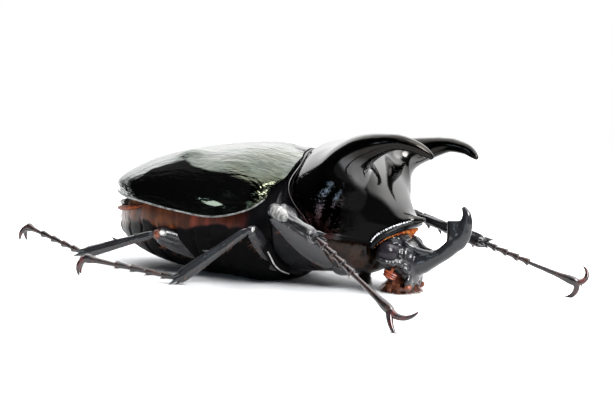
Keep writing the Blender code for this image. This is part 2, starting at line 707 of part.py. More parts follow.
def make_leg(leg):
    """The four nodes of one leg: hip, thigh, shin and foot."""
    hip, knee, ankle, bend, claw_root = (Vector(p) for p in LEGS[leg])
    pair, flank = leg.split("_")
    side = 1 if flank == "left" else -1
    thigh_half, shin_start, shin_end = LEG_SIZES[pair]
    thigh = (knee - hip).normalized()
    shin = (ankle - knee).normalized()
    foot = (bend - ankle).normalized()
    middle = (thigh + shin).normalized()

    coxa = ball(f"leg_{leg}_coxa", hip - thigh * 0.6, HIP_RADII[pair], segments=12)
    socket = hip + thigh * 1.9
    steps = ((0.0, 0.62), (0.12, 0.8), (0.35, 1.0), (0.62, 0.98), (0.85, 0.8), (1.0, 0.62))
    end = knee - middle * GAP / 2 - thigh * 0.4
    femur = limb(f"leg_{leg}_femur", [socket.lerp(end, t) for t, _ in steps],
                 [thigh_half * w for _, w in steps],
                 [thigh_half * w * 0.72 for _, w in steps], sides=10)
    cleared(femur, coxa)

    start = knee + middle * GAP / 2 + shin * 0.4
    finish = ankle - foot * (GAP / 2)
    steps = ((0.0, 0.0), (0.1, 0.0), (0.35, 0.35), (0.7, 0.75), (0.93, 1.0), (1.0, 0.75))
    widths = [shin_start + (shin_end - shin_start) * w for _, w in steps]
    places = [start.lerp(finish, t) for t, _ in steps]
    blade = limb("shin", places, widths, [w * 0.7 for w in widths], sides=8)
    tibia = fuse(f"leg_{leg}_tibia", [blade] + shin_teeth(pair, side, start, finish, shin_end))
    cleared(tibia, femur)

    places, radii = foot_stations(finish + foot * GAP, bend, claw_root)
    tarsus = tube("foot", places, radii)
    hooks = [
        tube("hook", claw_path(claw_root - (claw_root - bend).normalized() * 0.4, ahead, curl,
                               length, bend_angle), [0.55, 0.52, 0.48, 0.42, 0.34, 0.24, 0.12])
        for ahead, curl, length, bend_angle in CLAWS[leg]
    ]
    tarsus = fuse(f"leg_{leg}_tarsus", [tarsus] + hooks)
    cleared(tarsus, tibia)
    return [coxa, femur, tibia, tarsus]


def shin_teeth(pair, side, start, finish, shin_end):
    """The teeth of a shin's outer edge and the spurs round its end."""
    along = (finish - start).normalized()
    across = along.cross(Vector((0, 0, 1))).normalized()
    up = across.cross(along).normalized()
    teeth = []
    if pair == "front":
        for t in (0.45, 0.66, 0.86):
            root = start.lerp(finish, t) - up * shin_end * 0.5
            teeth.append(cone("tooth", root, root - up * 1.7 + along * 0.9, 0.75))
    else:
        root = start.lerp(finish, 0.5) + up * shin_end * 0.35
        teeth.append(cone("tooth", root, root + up * 1.3 + along * 1.2, 0.55))
    for turn in (-1, 1):
        root = finish - along * 0.4 + across * shin_end * 0.4 * turn
        teeth.append(cone("spur", root, root + along * 1.9 + across * 0.9 * turn, 0.5))
    return teeth


def set_on_floor(obj):
    """Presses whatever reaches the floor into a small flat at its level."""
    for vert in obj.data.vertices:
        vert.co.z = max(vert.co.z, 0.0)


def main():
    clear_scene()
    shell_black = material("shell_black", (0.012, 0.012, 0.014), 0.12)
    elytra_green = material("elytra_green", (0.012, 0.022, 0.018), 0.14)
    belly_brown = material("belly_brown", (0.09, 0.022, 0.008), 0.35)
    eye_dark = material("eye_dark", (0.03, 0.02, 0.03), 0.1)
    feeler_orange = material("feeler_orange", (0.42, 0.08, 0.02), 0.35)
    mouth_brown = material("mouth_brown", (0.12, 0.03, 0.01), 0.5)
    claw_brown = material("claw_brown", (0.03, 0.012, 0.01), 0.2)

    shield = make_shield()
    pronotum = shield[0]
    head, head_horn = make_head()
    eyes = [make_eye(f"eye_{name}", side) for name, side in (("left", 1), ("right", -1))]
    cleared(head, *eyes)
    feelers = [make_antenna(f"antenna_{n}", s) for n, s in (("left", 1), ("right", -1))]
    mouth = make_mouthparts()
    for piece in (*feelers, mouth):
        cleared(piece, head, *eyes)
    elytra = [make_elytron(f"elytron_{n}", s) for n, s in (("left", 1), ("right", -1))]
    scutellum = make_scutellum()
    for case in elytra:
        cleared(case, scutellum)
    cleared(pronotum, *elytra, head)
    prosternum = cleared(make_prosternum(), pronotum, head, mouth, *eyes)
    mesothorax = cleared(make_mesothorax(), pronotum, scutellum, *elytra)
    metathorax = cleared(make_metathorax(), scutellum, *elytra)
    abdomen = make_abdomen()
    cleared(abdomen, *elytra)
    pygidium = cleared(make_pygidium(), *elytra, abdomen)

    legs, claws = [], []
    for leg in LEGS:
        parts = make_leg(leg)
        for piece in (prosternum, mesothorax, metathorax, abdomen):
            cleared(piece, *parts[:2])
        cleared(parts[1], pronotum)
        legs += parts[:3]
        claws.append(parts[3])

    finishes = (
        (shell_black, [*shield, head, head_horn, scutellum, prosternum, mesothorax,
                       metathorax, *legs]),
        (elytra_green, elytra),
        (belly_brown, [abdomen, pygidium]),
        (eye_dark, eyes),
        (feeler_orange, feelers),
        (mouth_brown, [mouth]),
        (claw_brown, claws),
    )
    beetle = bpy.data.collections.new("caucasus_beetle")
    bpy.context.scene.collection.children.link(beetle)
    stand = bpy.data.objects.new("waist", None)
    beetle.objects.link(stand)
    stand.location = (WAIST_X * MM, 0, 0)
    for finish, pieces in finishes:
        for piece in pieces:
            set_on_floor(piece)
            piece.data.materials.clear()
            piece.data.materials.append(finish)
            piece.data.shade_smooth()
            piece.data.set_sharp_from_angle(angle=math.radians(35))
            bpy.context.scene.collection.objects.unlink(piece)
            beetle.objects.link(piece)
            piece.parent = stand


main()
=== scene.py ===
"""A male three-horned rhinoceros beetle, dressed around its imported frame.

Places are in millimetres from the waist, the point of the floor under the joint of the
shield and the wing cases: X towards the head, Y to the beetle's left, Z up. The frame's own
origin lies WAIST_X behind it.
"""

import math
import random

import bmesh
import bpy
import numpy as np
from bpy.props import FloatProperty, FloatVectorProperty, IntProperty, PointerProperty
from mathutils import Matrix, Vector, noise


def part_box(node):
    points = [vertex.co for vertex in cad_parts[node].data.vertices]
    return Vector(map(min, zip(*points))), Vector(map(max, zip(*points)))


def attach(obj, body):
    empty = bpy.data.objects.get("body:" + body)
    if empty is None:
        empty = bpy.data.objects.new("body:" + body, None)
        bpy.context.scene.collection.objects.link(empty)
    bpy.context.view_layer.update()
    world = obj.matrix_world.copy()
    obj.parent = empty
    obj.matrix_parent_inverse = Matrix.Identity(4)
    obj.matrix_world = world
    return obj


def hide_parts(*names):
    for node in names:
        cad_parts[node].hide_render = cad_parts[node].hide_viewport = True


bl_info = {
    "name": "Three-horned beetle",
    "version": (1, 0, 0),
    "blender": (4, 5, 0),
    "location": "View3D > Sidebar > Beetle",
    "description": "Builds the shell, legs, hairs and studio of a rhinoceros beetle on its frame",
    "category": "Object",
}

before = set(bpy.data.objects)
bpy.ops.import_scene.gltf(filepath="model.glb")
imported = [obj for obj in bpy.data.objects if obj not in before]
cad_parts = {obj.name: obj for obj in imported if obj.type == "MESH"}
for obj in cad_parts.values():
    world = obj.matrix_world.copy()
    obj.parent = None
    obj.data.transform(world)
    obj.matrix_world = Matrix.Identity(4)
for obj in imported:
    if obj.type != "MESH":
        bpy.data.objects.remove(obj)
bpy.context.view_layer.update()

MM = 0.001
WAIST_X = 8.0
SIDES = (("right", -1), ("left", 1))
SEED = 7


def frame_size(node, axis):
    """How long a part of the frame is along an axis, in millimetres."""
    low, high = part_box(node)
    return (high[axis] - low[axis]) / MM


def frame_end(node, axis, high=True):
    """The lowest or highest place of a part of the frame, in millimetres from the waist."""
    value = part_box(node)[1 if high else 0][axis] / MM
    return value - WAIST_X if axis == 0 else value


# Body, in millimetres
WING_LENGTH = -frame_end("elytron_right", 0, high=False)
WING_HALF_WIDTH = -frame_end("elytron_right", 1, high=False)
WING_TOP = frame_end("elytron_right", 2)
BELLY_HALF_WIDTH = frame_size("metathorax", 1) / 2
SHIELD_HALF_WIDTH = frame_size("pronotum", 1) / 2
SHIELD_TOP = 30.2
SHIELD_LIP = 2.0
WAIST_HEIGHT = 27.3
TRUNK_MIDDLE = 11.0
GAP = 0.3
# How much the arch of shield and wing cases is a roof at their bases, and how far the edges of
# the bases bow ahead there
SHIELD_ROOF = 0.33
WING_ROOF = 0.35
SHIELD_BASE_BOW = 1.2
WING_BASE_BOW = 1.4
# Swelling of the shield's shoulders and where it lies on the arch, in degrees; the fullness of
# the flanks under them; the hollow of the face between the horns
SHOULDER = 3.6
SHOULDER_ANGLE = 40.0
FLANK_FILL = 0.9
FACE_DENT = 0.2
# Horns and eyes
HORN_SPREAD = 13.9
HORN_TIP = (32.2, 11.8, 27.6)
HEAD_HORN_TIP = (34.2, 0.0, 18.3)
EYE_PLACE = (21.1, 6.5, 8.5)
EYE_RADII = (2.2, 2.2, 2.3)
# Columns of the shield's grid that its front rim is drawn through
SHIELD_COLUMNS = 97
RIM_COLUMNS = slice(3, -3, 6)
# How much the right and the left long horn are raised, at the middle and at the tip
HORN_LIFTS = {-1: (0.5, 0.5), 1: (-0.9, -0.5)}
# Lower edge of the hind chest's plate, across and up
PLATE_EDGE = ((18.0, 7.7), (16.6, 6.3), (15.2, 4.9), (12.6, 3.4), (8.8, 2.2))

# Joints of each leg: hip, knee, ankle, end of the foot's four short joints, root of the claws
LEGS = {
    "front_right": ((11.6, -7.4, 5.0), (1.7, -18.7, 16.3), (19.2, -33.9, 13.7),
                    (28.2, -36.8, 8.6), (37.4, -39.7, 3.3)),
    "middle_right": ((-2.2, -10.5, 5.0), (-2.0, -21.2, 12.2), (-16.4, -24.2, 1.2),
                     (-28.9, -28.3, 3.1), (-35.0, -30.4, 4.1)),
    "hind_right": ((-15.5, -9.6, 4.6), (-25.5, -18.9, 8.9), (-44.0, -18.9, 2.9),
                   (-57.4, -16.1, 5.6), (-62.4, -15.0, 6.6)),
    "front_left": ((11.6, 7.4, 5.0), (11.0, 21.6, 14.4), (34.7, 12.0, 9.9),
                   (43.6, 14.4, 6.6), (53.3, 17.0, 3.2)),
    "middle_left": ((-2.2, 10.5, 5.0), (-2.0, 21.4, 12.0), (-13.4, 28.6, 1.2),
                    (-22.4, 37.6, 3.1), (-26.8, 42.0, 4.0)),
    "hind_left": ((-15.5, 9.6, 4.6), (-24.6, 19.6, 8.9), (-38.4, 31.6, 2.2),
                  (-46.0, 41.4, 3.6), (-48.8, 45.2, 4.2)),
}
# Radii of each pair's hip, then half widths of thigh and shin: thigh's middle, shin's two ends
HIP_RADII = {"front": (2.6, 2.2, 1.7), "middle": (2.4, 2.2, 2.0), "hind": (2.8, 2.5, 2.4)}
LEG_SIZES = {"front": (3.2, 1.0, 1.4), "middle": (1.9, 0.85, 1.35), "hind": (2.4, 0.85, 1.2)}
# Ways that the plates of knees and front shins face, on the right side; their pale
# finish is a painted highlight
KNEE_PLATE_WAY = (0.60, -0.69, 0.40)
SHIN_PLATE_WAY = (-0.53, -0.69, 0.49)
# Each claw's direction at its root, the direction that it curls to, its length and its bend
CLAWS = {
    "front_right": (((0.8, -0.3, -0.7), (0.8, 0.1, 0.8), 6.4, 95),
                    ((0.1, -0.5, -0.9), (0.9, 0.2, -0.4), 5.4, 50)),
    "middle_right": (((-0.8, -0.5, -0.3), (0.5, 0.2, -1), 4.4, 105),
                     ((-0.9, 0.1, -0.3), (0.5, 0, -1), 4.2, 95)),
    "hind_right": (((-1, 0.3, -0.2), (0.5, 0.1, -1), 4.2, 105),
                   ((-0.9, -0.4, -0.2), (0.6, 0.1, -1), 4.0, 95)),
    "front_left": (((0.9, 0.3, -0.2), (-0.5, 0.1, 0.9), 5.2, 165),
                   ((0.3, 0.2, -0.9), (-1, 0, -0.1), 5.8, 120)),
    "middle_left": (((-0.4, 0.9, -0.2), (0.4, -0.2, -1), 4.4, 105),
                    ((-0.9, 0.4, -0.2), (0.4, -0.2, -1), 4.2, 95)),
    "hind_left": (((-0.3, 0.9, -0.2), (0.3, -0.3, -1), 4.2, 105),
                  ((-0.9, 0.5, -0.2), (0.4, -0.2, -1), 4.0, 95)),
}
CLAW_RADIUS = 0.72
# Points of each hair, and the lowest that hair may hang, in millimetres
HAIR_POINTS = 7
HAIR_FLOOR = 0.02

# Horny parts: dark colour, light colour and roughness, then relief in millimetres, grain per
# metre and gloss where they aren't the usual ones
HORNY = {
    "wing_edge": ((0.03, 0.031, 0.03), (0.17, 0.175, 0.167), 0.3),
    "rim_black": ((0.002, 0.002, 0.002), (0.006, 0.006, 0.007), 0.15, 0.03, 900.0, 0.06),
    # Pale beads on the front rim: a painted highlight
    "rim_bead_painted_highlight": ((0.01, 0.01, 0.012), (0.5, 0.51, 0.53), 0.2, 0.05, 1600.0),
    "feeler_orange": ((0.08, 0.014, 0.007), (0.24, 0.048, 0.018), 0.25, 0.1, 500.0),
    "mouth_brown": ((0.03, 0.010, 0.006), (0.17, 0.04, 0.015), 0.35, 0.12),
    "tail_orange": ((0.07, 0.016, 0.006), (0.24, 0.06, 0.022), 0.4, 0.05, 900.0, 0.03),
    "tail_grey": ((0.012, 0.010, 0.009), (0.07, 0.062, 0.056), 0.35, 0.1, 900.0, 0.3),
    "chest_brown": ((0.002, 0.0015, 0.001), (0.018, 0.006, 0.002), 0.25, 0.2, 400.0, 0.15),
    # Pale edge of the hind chest's plate: a painted highlight
    "plate_edge_painted_highlight": ((0.16, 0.157, 0.15), (0.36, 0.35, 0.335), 0.3),
    "joint_red": ((0.03, 0.007, 0.003), (0.16, 0.04, 0.016), 0.3),
    # Pale plates of knees and front shins: a painted highlight
    "knee_painted_highlight": ((0.11, 0.11, 0.105), (0.40, 0.40, 0.385), 0.3, 0.1),
    "foot_brown": ((0.004, 0.003, 0.003), (0.022, 0.008, 0.006), 0.26),
    "claw_brown": ((0.006, 0.003, 0.003), (0.05, 0.010, 0.009), 0.18),
    "bristle_black": ((0.01, 0.008, 0.007), (0.03, 0.02, 0.015), 0.4),
    "bristle_brown": ((0.05, 0.014, 0.007), (0.20, 0.06, 0.025), 0.4),
}

# Dark parts of the studio, in degrees: turn from the head, lift, reach and softness of the
# edge; then the share of the light that is left there
DARK_PARTS = (
    (235.0, -15.0, 79.0, 1.2, 0.012),
    (245.0, 45.0, 28.0, 7.0, 0.03),
    (332.0, -2.0, 61.0, 6.0, 0.03),
    (305.0, 66.0, 14.0, 8.0, 0.4),
)
# The softboxes ahead of the beetle: turn, lift, reach and softness, then their brightness
SOFTBOXES = (
    (338.0, 35.0, 13.0, 2.5, 42.0),
    (12.0, 56.0, 19.0, 6.0, 8.0),
)
# Floor: its radius and how far it lies under the soles, in metres, and its two shades
FLOOR_RADIUS = 0.6
FLOOR_DROP = 0.00002
FLOOR_SHADES = ((0.60, 0.605, 0.615), (0.63, 0.635, 0.645))
# Small bluish windows: the place on the shield that mirrors them, the way to them by turn and
# lift, and their brightness
WINDOWS = (
    ((13.5, -15.4, 19.2), 279.0, 5.0, 11.0),
    ((11.8, -14.9, 21.8), 242.0, 21.0, 13.0),
)
WINDOW_SIZE = (0.06, 0.06)
WINDOW_REACH = 0.45
WINDOW_COLOUR = (0.62, 0.82, 1.0)

# Crest of the wing cases' painted dark reflection: shares of the way along, and of 10 mm of height
WING_SHADE = (
    (0.055, 0.37), (0.168, 0.50), (0.232, 0.68), (0.340, 0.84), (0.440, 0.95),
    (0.532, 0.86), (0.640, 0.78), (0.752, 0.77), (0.842, 0.68), (0.920, 0.62),
)
# Middle of the painted mint highlight above their margin, along and up, in metres
GLEAM_PLACE = (-0.0040, 0.0162)

# Camera, in millimetres from the waist and degrees
CAMERA_PLACE = (128.4, -246.3, 44.1)
CAMERA_TURN = 27.7
CAMERA_PITCH = 5.8
CAMERA_ROLL = 2.5
CAMERA_LENS = 78.49


# Plain geometry

def unit(v):
    """Vectors of length 1."""
    v = np.asarray(v, float)
    return v / (np.linalg.norm(v, axis=-1, keepdims=True) + 1e-12)


def smooth_step(t):
    """From 0 to 1, level at both ends."""
    t = np.clip(t, 0.0, 1.0)
    return t * t * (3 - 2 * t)


def hump(value, middle, width):
    """A smooth bump of height 1 round the middle."""
    return np.exp(-(((value - middle) / width) ** 2))


def smooth_path(knots, count):
    """Places at even steps of a smooth curve through the knots, which may hold any numbers."""
    knots = np.array(knots, float)
    ends = np.vstack([2 * knots[0] - knots[1], knots, 2 * knots[-1] - knots[-2]])
    step = np.linspace(0, len(knots) - 1, count)
    k = np.minimum(step.astype(int), len(knots) - 2)
    t = (step - k)[:, None]
    a, b, c, d = ends[k], ends[k + 1], ends[k + 2], ends[k + 3]
    return 0.5 * (2 * b + (c - a) * t + (2 * a - 5 * b + 4 * c - d) * t**2
                  + (3 * b - a - 3 * c + d) * t**3)


def wander(points, scale, seed=0.0):
    """Smooth noise between -1 and 1 at each point, in lumps of about the scale."""
    flat = np.asarray(points, float).reshape(-1, 3) / scale + seed
    values = np.array([noise.noise(Vector(p)) for p in flat])
    return values.reshape(np.shape(points)[:-1])


class Shape:
    """Points and faces gathered for one mesh, in millimetres from the waist."""

    def __init__(self):
        self.points = []
        self.faces = []
        self.slots = []

    def add(self, points, faces, slot=0):
        """Points, and faces that count them from 0; says where the points start."""
        start = len(self.points)
        self.points.extend(map(tuple, np.asarray(points, float).reshape(-1, 3)))
        self.faces.extend(tuple(start + k for k in face) for face in faces)
        self.slots.extend([slot] * len(faces))
        return start

    def grid(self, rows, closed=False, slot=0):
        """A surface through rows of as many points each; closed joins the ends of each row."""
        rows = np.asarray(rows, float)
        n, m = rows.shape[:2]
        i, j = np.meshgrid(np.arange(n - 1), np.arange(m if closed else m - 1), indexing="ij")
        k = (j + 1) % m
        quads = np.stack([i * m + j, i * m + k, (i + 1) * m + k, (i + 1) * m + j], -1)
        return self.add(rows, quads.reshape(-1, 4).tolist(), slot)

    def sheets(self, outer, inner):
        """Two surfaces of as many rows and columns, joined round their edges."""
        rows, cols = outer.shape[:2]
        rim = [(0, j) for j in range(cols)] + [(i, cols - 1) for i in range(1, rows)]
        rim += [(rows - 1, j) for j in reversed(range(cols - 1))]
        rim += [(i, 0) for i in reversed(range(1, rows - 1))]
        rim = [i * cols + j for i, j in rim]
        a, b = self.grid(outer), self.grid(inner)
        self.faces.extend((a + k, a + m, b + m, b + k) for k, m in zip(rim, rim[1:] + rim[:1]))
        self.slots.extend([0] * len(rim))

    def loft(self, rings, slot=0):
        """A closed body through rings, with a fan over each end."""
        rings = np.asarray(rings, float)
        n, m = rings.shape[:2]
        start = self.grid(rings, closed=True, slot=slot)
        for first in (0, (n - 1) * m):
            middle = rings.reshape(-1, 3)[first : first + m].mean(axis=0)
            tip = self.add([middle], [])
            ring = [start + first + k for k in range(m)]
            self.faces.extend((ring[k], ring[(k + 1) % m], tip) for k in range(m))
            self.slots.extend([slot] * m)

    def rod(self, places, widths, depths, sides=16, broad=(0, 0, 1), relief=None, slot=0):
        """A closed tapering rod, oval across, whose width lies along broad; relief gives the
        share of its reach by the share of its length and the angle round it."""
        places = np.asarray(places, float)
        along = unit(np.gradient(places, axis=0))
        depth = unit(np.cross(along, broad))
        width = np.cross(depth, along)
        angle = np.linspace(0, 2 * np.pi, sides, endpoint=False)[None, :]
        reach = np.ones((len(places), sides))
        if relief:
            reach = reach + relief(np.linspace(0, 1, len(places))[:, None], angle)
        widths, depths = (np.broadcast_to(v, (len(places),))[:, None] for v in (widths, depths))
        w = widths * np.cos(angle) * reach
        d = depths * np.sin(angle) * reach
        self.loft(places[:, None] + width[:, None] * w[..., None] + depth[:, None] * d[..., None],
                  slot)

    def middle_rod(self, stations, sides, broad=(0, 1, 0)):
        """A rod in the middle plane, by stations of along, up, half width and half depth."""
        places = [(x, 0, z) for x, z in stations[:, :2]]
        self.rod(places, stations[:, 2], stations[:, 3], sides, broad)

    def tube(self, places, radii, sides=10, slot=0):
        """A round rod."""
        places = np.asarray(places, float)
        along = unit(places[-1] - places[0])
        broad = (0, 0, 1) if abs(along[2]) < 0.8 else (0, 1, 0)
        self.rod(places, radii, radii, sides, broad, slot=slot)

    def spine(self, root, tip, radius, bow=(0, 0, 0), sides=8, slot=0):
        """A tapering thorn with its root sunk, bent along bow."""
        root, tip, bow = (np.asarray(p, float) for p in (root, tip, bow))
        t = np.linspace(0, 1, 7)[:, None]
        places = root + (tip - root) * (t * 1.15 - 0.15) + bow * (4 * t * (1 - t))
        radii = radius * np.array([1.0, 0.98, 0.85, 0.66, 0.45, 0.24, 0.04])
        self.tube(places, radii, sides, slot)

    def ball(self, place, radii, turn=(0, 0, 0), segments=20, slot=0, relief=None):
        """A sphere stretched to three radii and turned by three angles in degrees."""
        polar = np.linspace(0.04, np.pi - 0.04, segments // 2 + 2)
        around = np.linspace(0, 2 * np.pi, segments, endpoint=False)
        p, a = np.meshgrid(polar, around, indexing="ij")
        rings = np.stack([np.sin(p) * np.cos(a), np.sin(p) * np.sin(a), np.cos(p)], -1)
        if relief:
            rings = rings * (1 + relief(rings))[..., None]
        x, y, z = (math.radians(v) for v in turn)
        spin = np.array(Matrix.Rotation(z, 3, "Z") @ Matrix.Rotation(y, 3, "Y")
                        @ Matrix.Rotation(x, 3, "X"))
        self.loft((rings * np.asarray(radii)) @ spin.T + np.asarray(place), slot)

    def above(self, height):
        """Lifts every point that lies lower than the height."""
        self.points = [(x, y, max(z, height)) for x, y, z in self.points]

    def hairs(self, roots, ways, lengths, radius, droop, rng):
        """Fine bristles from many roots, each a three-sided thorn that droops a little."""
        for root, way, length in zip(np.asarray(roots), unit(ways), lengths):
            bend = np.asarray(droop) * rng.uniform(0.6, 1.3) * length
            side = unit(np.cross(way, (0.3, 0.5, 0.8)))
            other = np.cross(way, side)
            points = []
            for t, thick in ((-0.1, 1.0), (0.5, 0.75)):
                middle = root + way * length * t + bend * max(t, 0) ** 2
                for k in range(3):
                    turn = 2 * math.pi * k / 3
                    points.append(middle + (side * math.cos(turn) + other * math.sin(turn))
                                  * radius * thick)
            points.append(root + way * length + bend)
            self.add(points, [(0, 1, 4, 3), (1, 2, 5, 4), (2, 0, 3, 5), (3, 4, 6), (4, 5, 6),
                              (5, 3, 6)])


def piece(name, shape, finishes, replaces=(), sharp=40.0):
    """The shape as one object that rides on the frame's body and wears the finishes."""
    mesh = bpy.data.meshes.new(name)
    points = np.array(shape.points) + (WAIST_X, 0, 0)
    points[:, 2] = np.maximum(points[:, 2], 0.0)
    mesh.from_pydata((points * MM).tolist(), [], shape.faces)
    bm = bmesh.new()
    bm.from_mesh(mesh)
    bmesh.ops.recalc_face_normals(bm, faces=bm.faces)
    bm.to_mesh(mesh)
    bm.free()
    obj = bpy.data.objects.new(name, mesh)
    bpy.context.scene.collection.objects.link(obj)
    dress(obj, finishes, sharp)
    mesh.polygons.foreach_set("material_index", shape.slots)
    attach(obj, "root")
    if replaces:
        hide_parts(*replaces)
    return obj


def coat(name, hairs, finish):
    """Hairs as one object, each a small patch of the OFBake map at its root's place."""
    obj = piece(name, hairs, [finish])
    strands = np.array(hairs.points).reshape(-1, HAIR_POINTS, 3)
    roots = strands[:, :3].mean(axis=1)
    roots = (roots - roots.mean(axis=0)) @ np.linalg.svd(roots - roots.mean(axis=0))[2].T
    along = (roots[:, 0] - roots[:, 0].min()) / (np.ptp(roots[:, 0]) + 1e-9)
    round_it = np.arctan2(roots[:, 2], roots[:, 1]) / (2 * np.pi) + 0.5
    place = 0.01 + 0.97 * np.stack([along, round_it], -1)
    layer = obj.data.uv_layers.new(name="OFBake")
    corner = np.empty(len(obj.data.loops), np.int32)
    obj.data.loops.foreach_get("vertex_index", corner)
    point = corner % HAIR_POINTS
    within = np.stack([point % 3, point // 3], -1) * 0.0015
    uv = place[corner // HAIR_POINTS] + within
    layer.uv.foreach_set("vector", uv.astype(np.float32).ravel())


def dress(obj, finishes, sharp=40.0):
    """The finishes in their slots, and smooth shading up to the angle of a sharp edge."""
    obj.data.materials.clear()
    for finish in finishes:
        obj.data.materials.append(finish)
    obj.data.shade_smooth()
    obj.data.set_sharp_from_angle(angle=math.radians(sharp))


def bake(obj):
    """Applies the object's modifiers."""
    graph = bpy.context.evaluated_depsgraph_get()
    mesh = bpy.data.meshes.new_from_object(obj.evaluated_get(graph))
    obj.modifiers.clear()
    obj.data = mesh


def one_skin(obj, voxel, rounds, finishes):
    """Melts the object's overlapping bodies into one smooth skin."""
    skin = obj.modifiers.new("skin", "REMESH")
    skin.mode = "VOXEL"
    skin.voxel_size = voxel * MM
    skin.use_smooth_shade = True
    soften = obj.modifiers.new("soften", "SMOOTH")
    soften.factor = 0.5
    soften.iterations = rounds
    bake(obj)
    dress(obj, finishes, 180)


def places_of(obj, key="co"):
    """Points of the object, in millimetres from the waist, or their normals."""
    values = np.empty(len(obj.data.vertices) * 3, np.float32)
    obj.data.vertices.foreach_get(key, values)
    values = values.reshape(-1, 3).astype(float)
    return values / MM - (WAIST_X, 0, 0) if key == "co" else values


def ease(obj, weigh, rounds):
    """Smooths the object where weigh, from 0 to 1, says so."""
    group = obj.vertex_groups.new(name="ease")
    for k, tenths in enumerate(np.round(weigh(places_of(obj)) * 10).astype(int)):
        if tenths:
            group.add([k], float(tenths) / 10, "REPLACE")
    soften = obj.modifiers.new("ease", "SMOOTH")
    soften.factor = 0.5
    soften.iterations = rounds
    soften.vertex_group = "ease"
    bake(obj)
    obj.vertex_groups.clear()


def reshape(obj, move):
    """Moves the object's points by what move gives for their places and normals, in mm."""
    mesh = obj.data
    places = places_of(obj)
    moved = places + move(places, places_of(obj, "normal"))
    mesh.vertices.foreach_set("co", ((moved + (WAIST_X, 0, 0)) * MM).astype(np.float32).ravel())
    mesh.update()


# Finishes

class Value:
    """A shader socket that plain arithmetic can use."""

    def __init__(self, nodes, socket):
        self.nodes = nodes
        self.socket = socket

    def maths(self, operation, *terms):
        return self.nodes.add("ShaderNodeMath", {"operation": operation}, *terms)

    def __add__(self, other):
        return self.maths("ADD", self, other)

    def __radd__(self, other):
        return self.maths("ADD", other, self)

    def __sub__(self, other):
        return self.maths("SUBTRACT", self, other)

    def __rsub__(self, other):
        return self.maths("SUBTRACT", other, self)

    def __mul__(self, other):
        return self.maths("MULTIPLY", self, other)

    def __rmul__(self, other):
        return self.maths("MULTIPLY", other, self)

    def between(self, low, high, start=0.0, end=1.0):
        """Start below low and end above high, with a smooth step from one to the other."""
        return self.nodes.add("ShaderNodeMapRange", {"interpolation_type": "SMOOTHSTEP"}, self,
                              low, high, start, end)


class Nodes:
    """A tree of shader nodes that starts empty."""

    def __init__(self, tree):
        self.tree = tree
        tree.nodes.clear()

    def add(self, kind, settings, *inputs, output=0, **named):
        """One of the outputs of a new node, whose inputs are given in order or by name."""
        node = self.tree.nodes.new(kind)
        for key, value in settings.items():
            if key == "stops":
                self.set_stops(node.color_ramp, value)
            else:
                setattr(node, key, value)
        self.feed(node, enumerate(inputs))
        self.feed(node, ((key.replace("_", " "), value) for key, value in named.items()))
        return Value(self, node.outputs[output])

    def feed(self, node, pairs):
        """Links or sets the node's inputs, by pairs of an input and its value."""
        for key, value in pairs:
            if isinstance(value, Value):
                self.tree.links.new(value.socket, node.inputs[key])
            elif value is not None:
                node.inputs[key].default_value = value

    def set_stops(self, ramp, stops):
        for place, colour in stops[1:-1]:
            ramp.elements.new(place).color = (*colour, 1.0)
        for k in (0, -1):
            place, colour = stops[k]
            ramp.elements[k].position = place
            ramp.elements[k].color = (*colour, 1.0)

    def close(self, kind, surface):
        """Ends the tree with the output node that shows the surface."""
        last = self.tree.nodes.new(kind)
        self.tree.links.new(surface.socket, last.inputs["Surface"])


class Finish(Nodes):
    """One material, built from nodes."""

    def __init__(self, name):
        self.material = bpy.data.materials.new(name)
        self.material.use_nodes = True
        super().__init__(self.material.node_tree)
        self.where = self.add("ShaderNodeTexCoord", {}, output="Object")

    def axis(self, name):
        """X, Y or Z of the place on the surface, in metres from the frame's origin."""
        return self.add("ShaderNodeSeparateXYZ", {}, self.where, output="XYZ".index(name))

    def stretched(self, scale, turn=(0.0, 0.0, 0.0)):
        """Places that a pattern can use to run longer one way."""
        return self.add("ShaderNodeMapping", {}, self.where, Rotation=turn, Scale=scale)

    def noise(self, scale, detail=4.0, where=None, twist=0.0):
        """Clouds from 0 to 1, so many to the metre."""
        return self.add("ShaderNodeTexNoise", {}, where or self.where, Scale=scale,
                        Detail=detail, Distortion=twist)

    def cells(self, scale):
        """How far each place is from the nearest of scattered points, so many to the metre."""
        return self.add("ShaderNodeTexVoronoi", {}, self.where, Scale=scale)

    def ramp(self, value, *stops):
        """The colour that stops of place and colour give the value."""
        return self.add("ShaderNodeValToRGB", {"stops": stops}, value)

    def mix(self, share, a, b):
        """A colour between a and b."""
        node = self.tree.nodes.new("ShaderNodeMix")
        node.data_type = "RGBA"
        colours = [node.inputs[6], node.inputs[7]]
        for socket, colour in zip(colours, (a, b)):
            if isinstance(colour, Value):
                self.tree.links.new(colour.socket, socket)
            else:
                socket.default_value = (*colour[:3], 1.0)
        self.feed(node, [(0, share)])
        return Value(self, node.outputs[2])

    def bump(self, height, depth, under=None):
        """Relief of so many millimetres for a height from 0 to 1."""
        return self.add("ShaderNodeBump", {}, Strength=1.0, Distance=depth * MM, Height=height,
                        Normal=under)

    def shell(self, colour, roughness, normal=None, metallic=0.0, painted_black=None, **fixed):
        """The material; its fifth argument is the share, from 0 to 1, painted dead black, for
        painted shade and painted dark reflections.
        """
        colour = colour if isinstance(colour, Value) else (*colour[:3], 1.0)
        shader = self.add("ShaderNodeBsdfPrincipled", {}, Base_Color=colour,
                          Roughness=roughness, Metallic=metallic, Normal=normal, **fixed)
        if painted_black:
            dull = self.add("ShaderNodeBsdfPrincipled", {}, Base_Color=(0.001, 0.001, 0.001, 1.0),
                            Roughness=1.0, Specular_IOR_Level=0.0)
            shader = self.add("ShaderNodeMixShader", {}, painted_black, shader, dull)
        self.close("ShaderNodeOutputMaterial", shader)
        return self.material


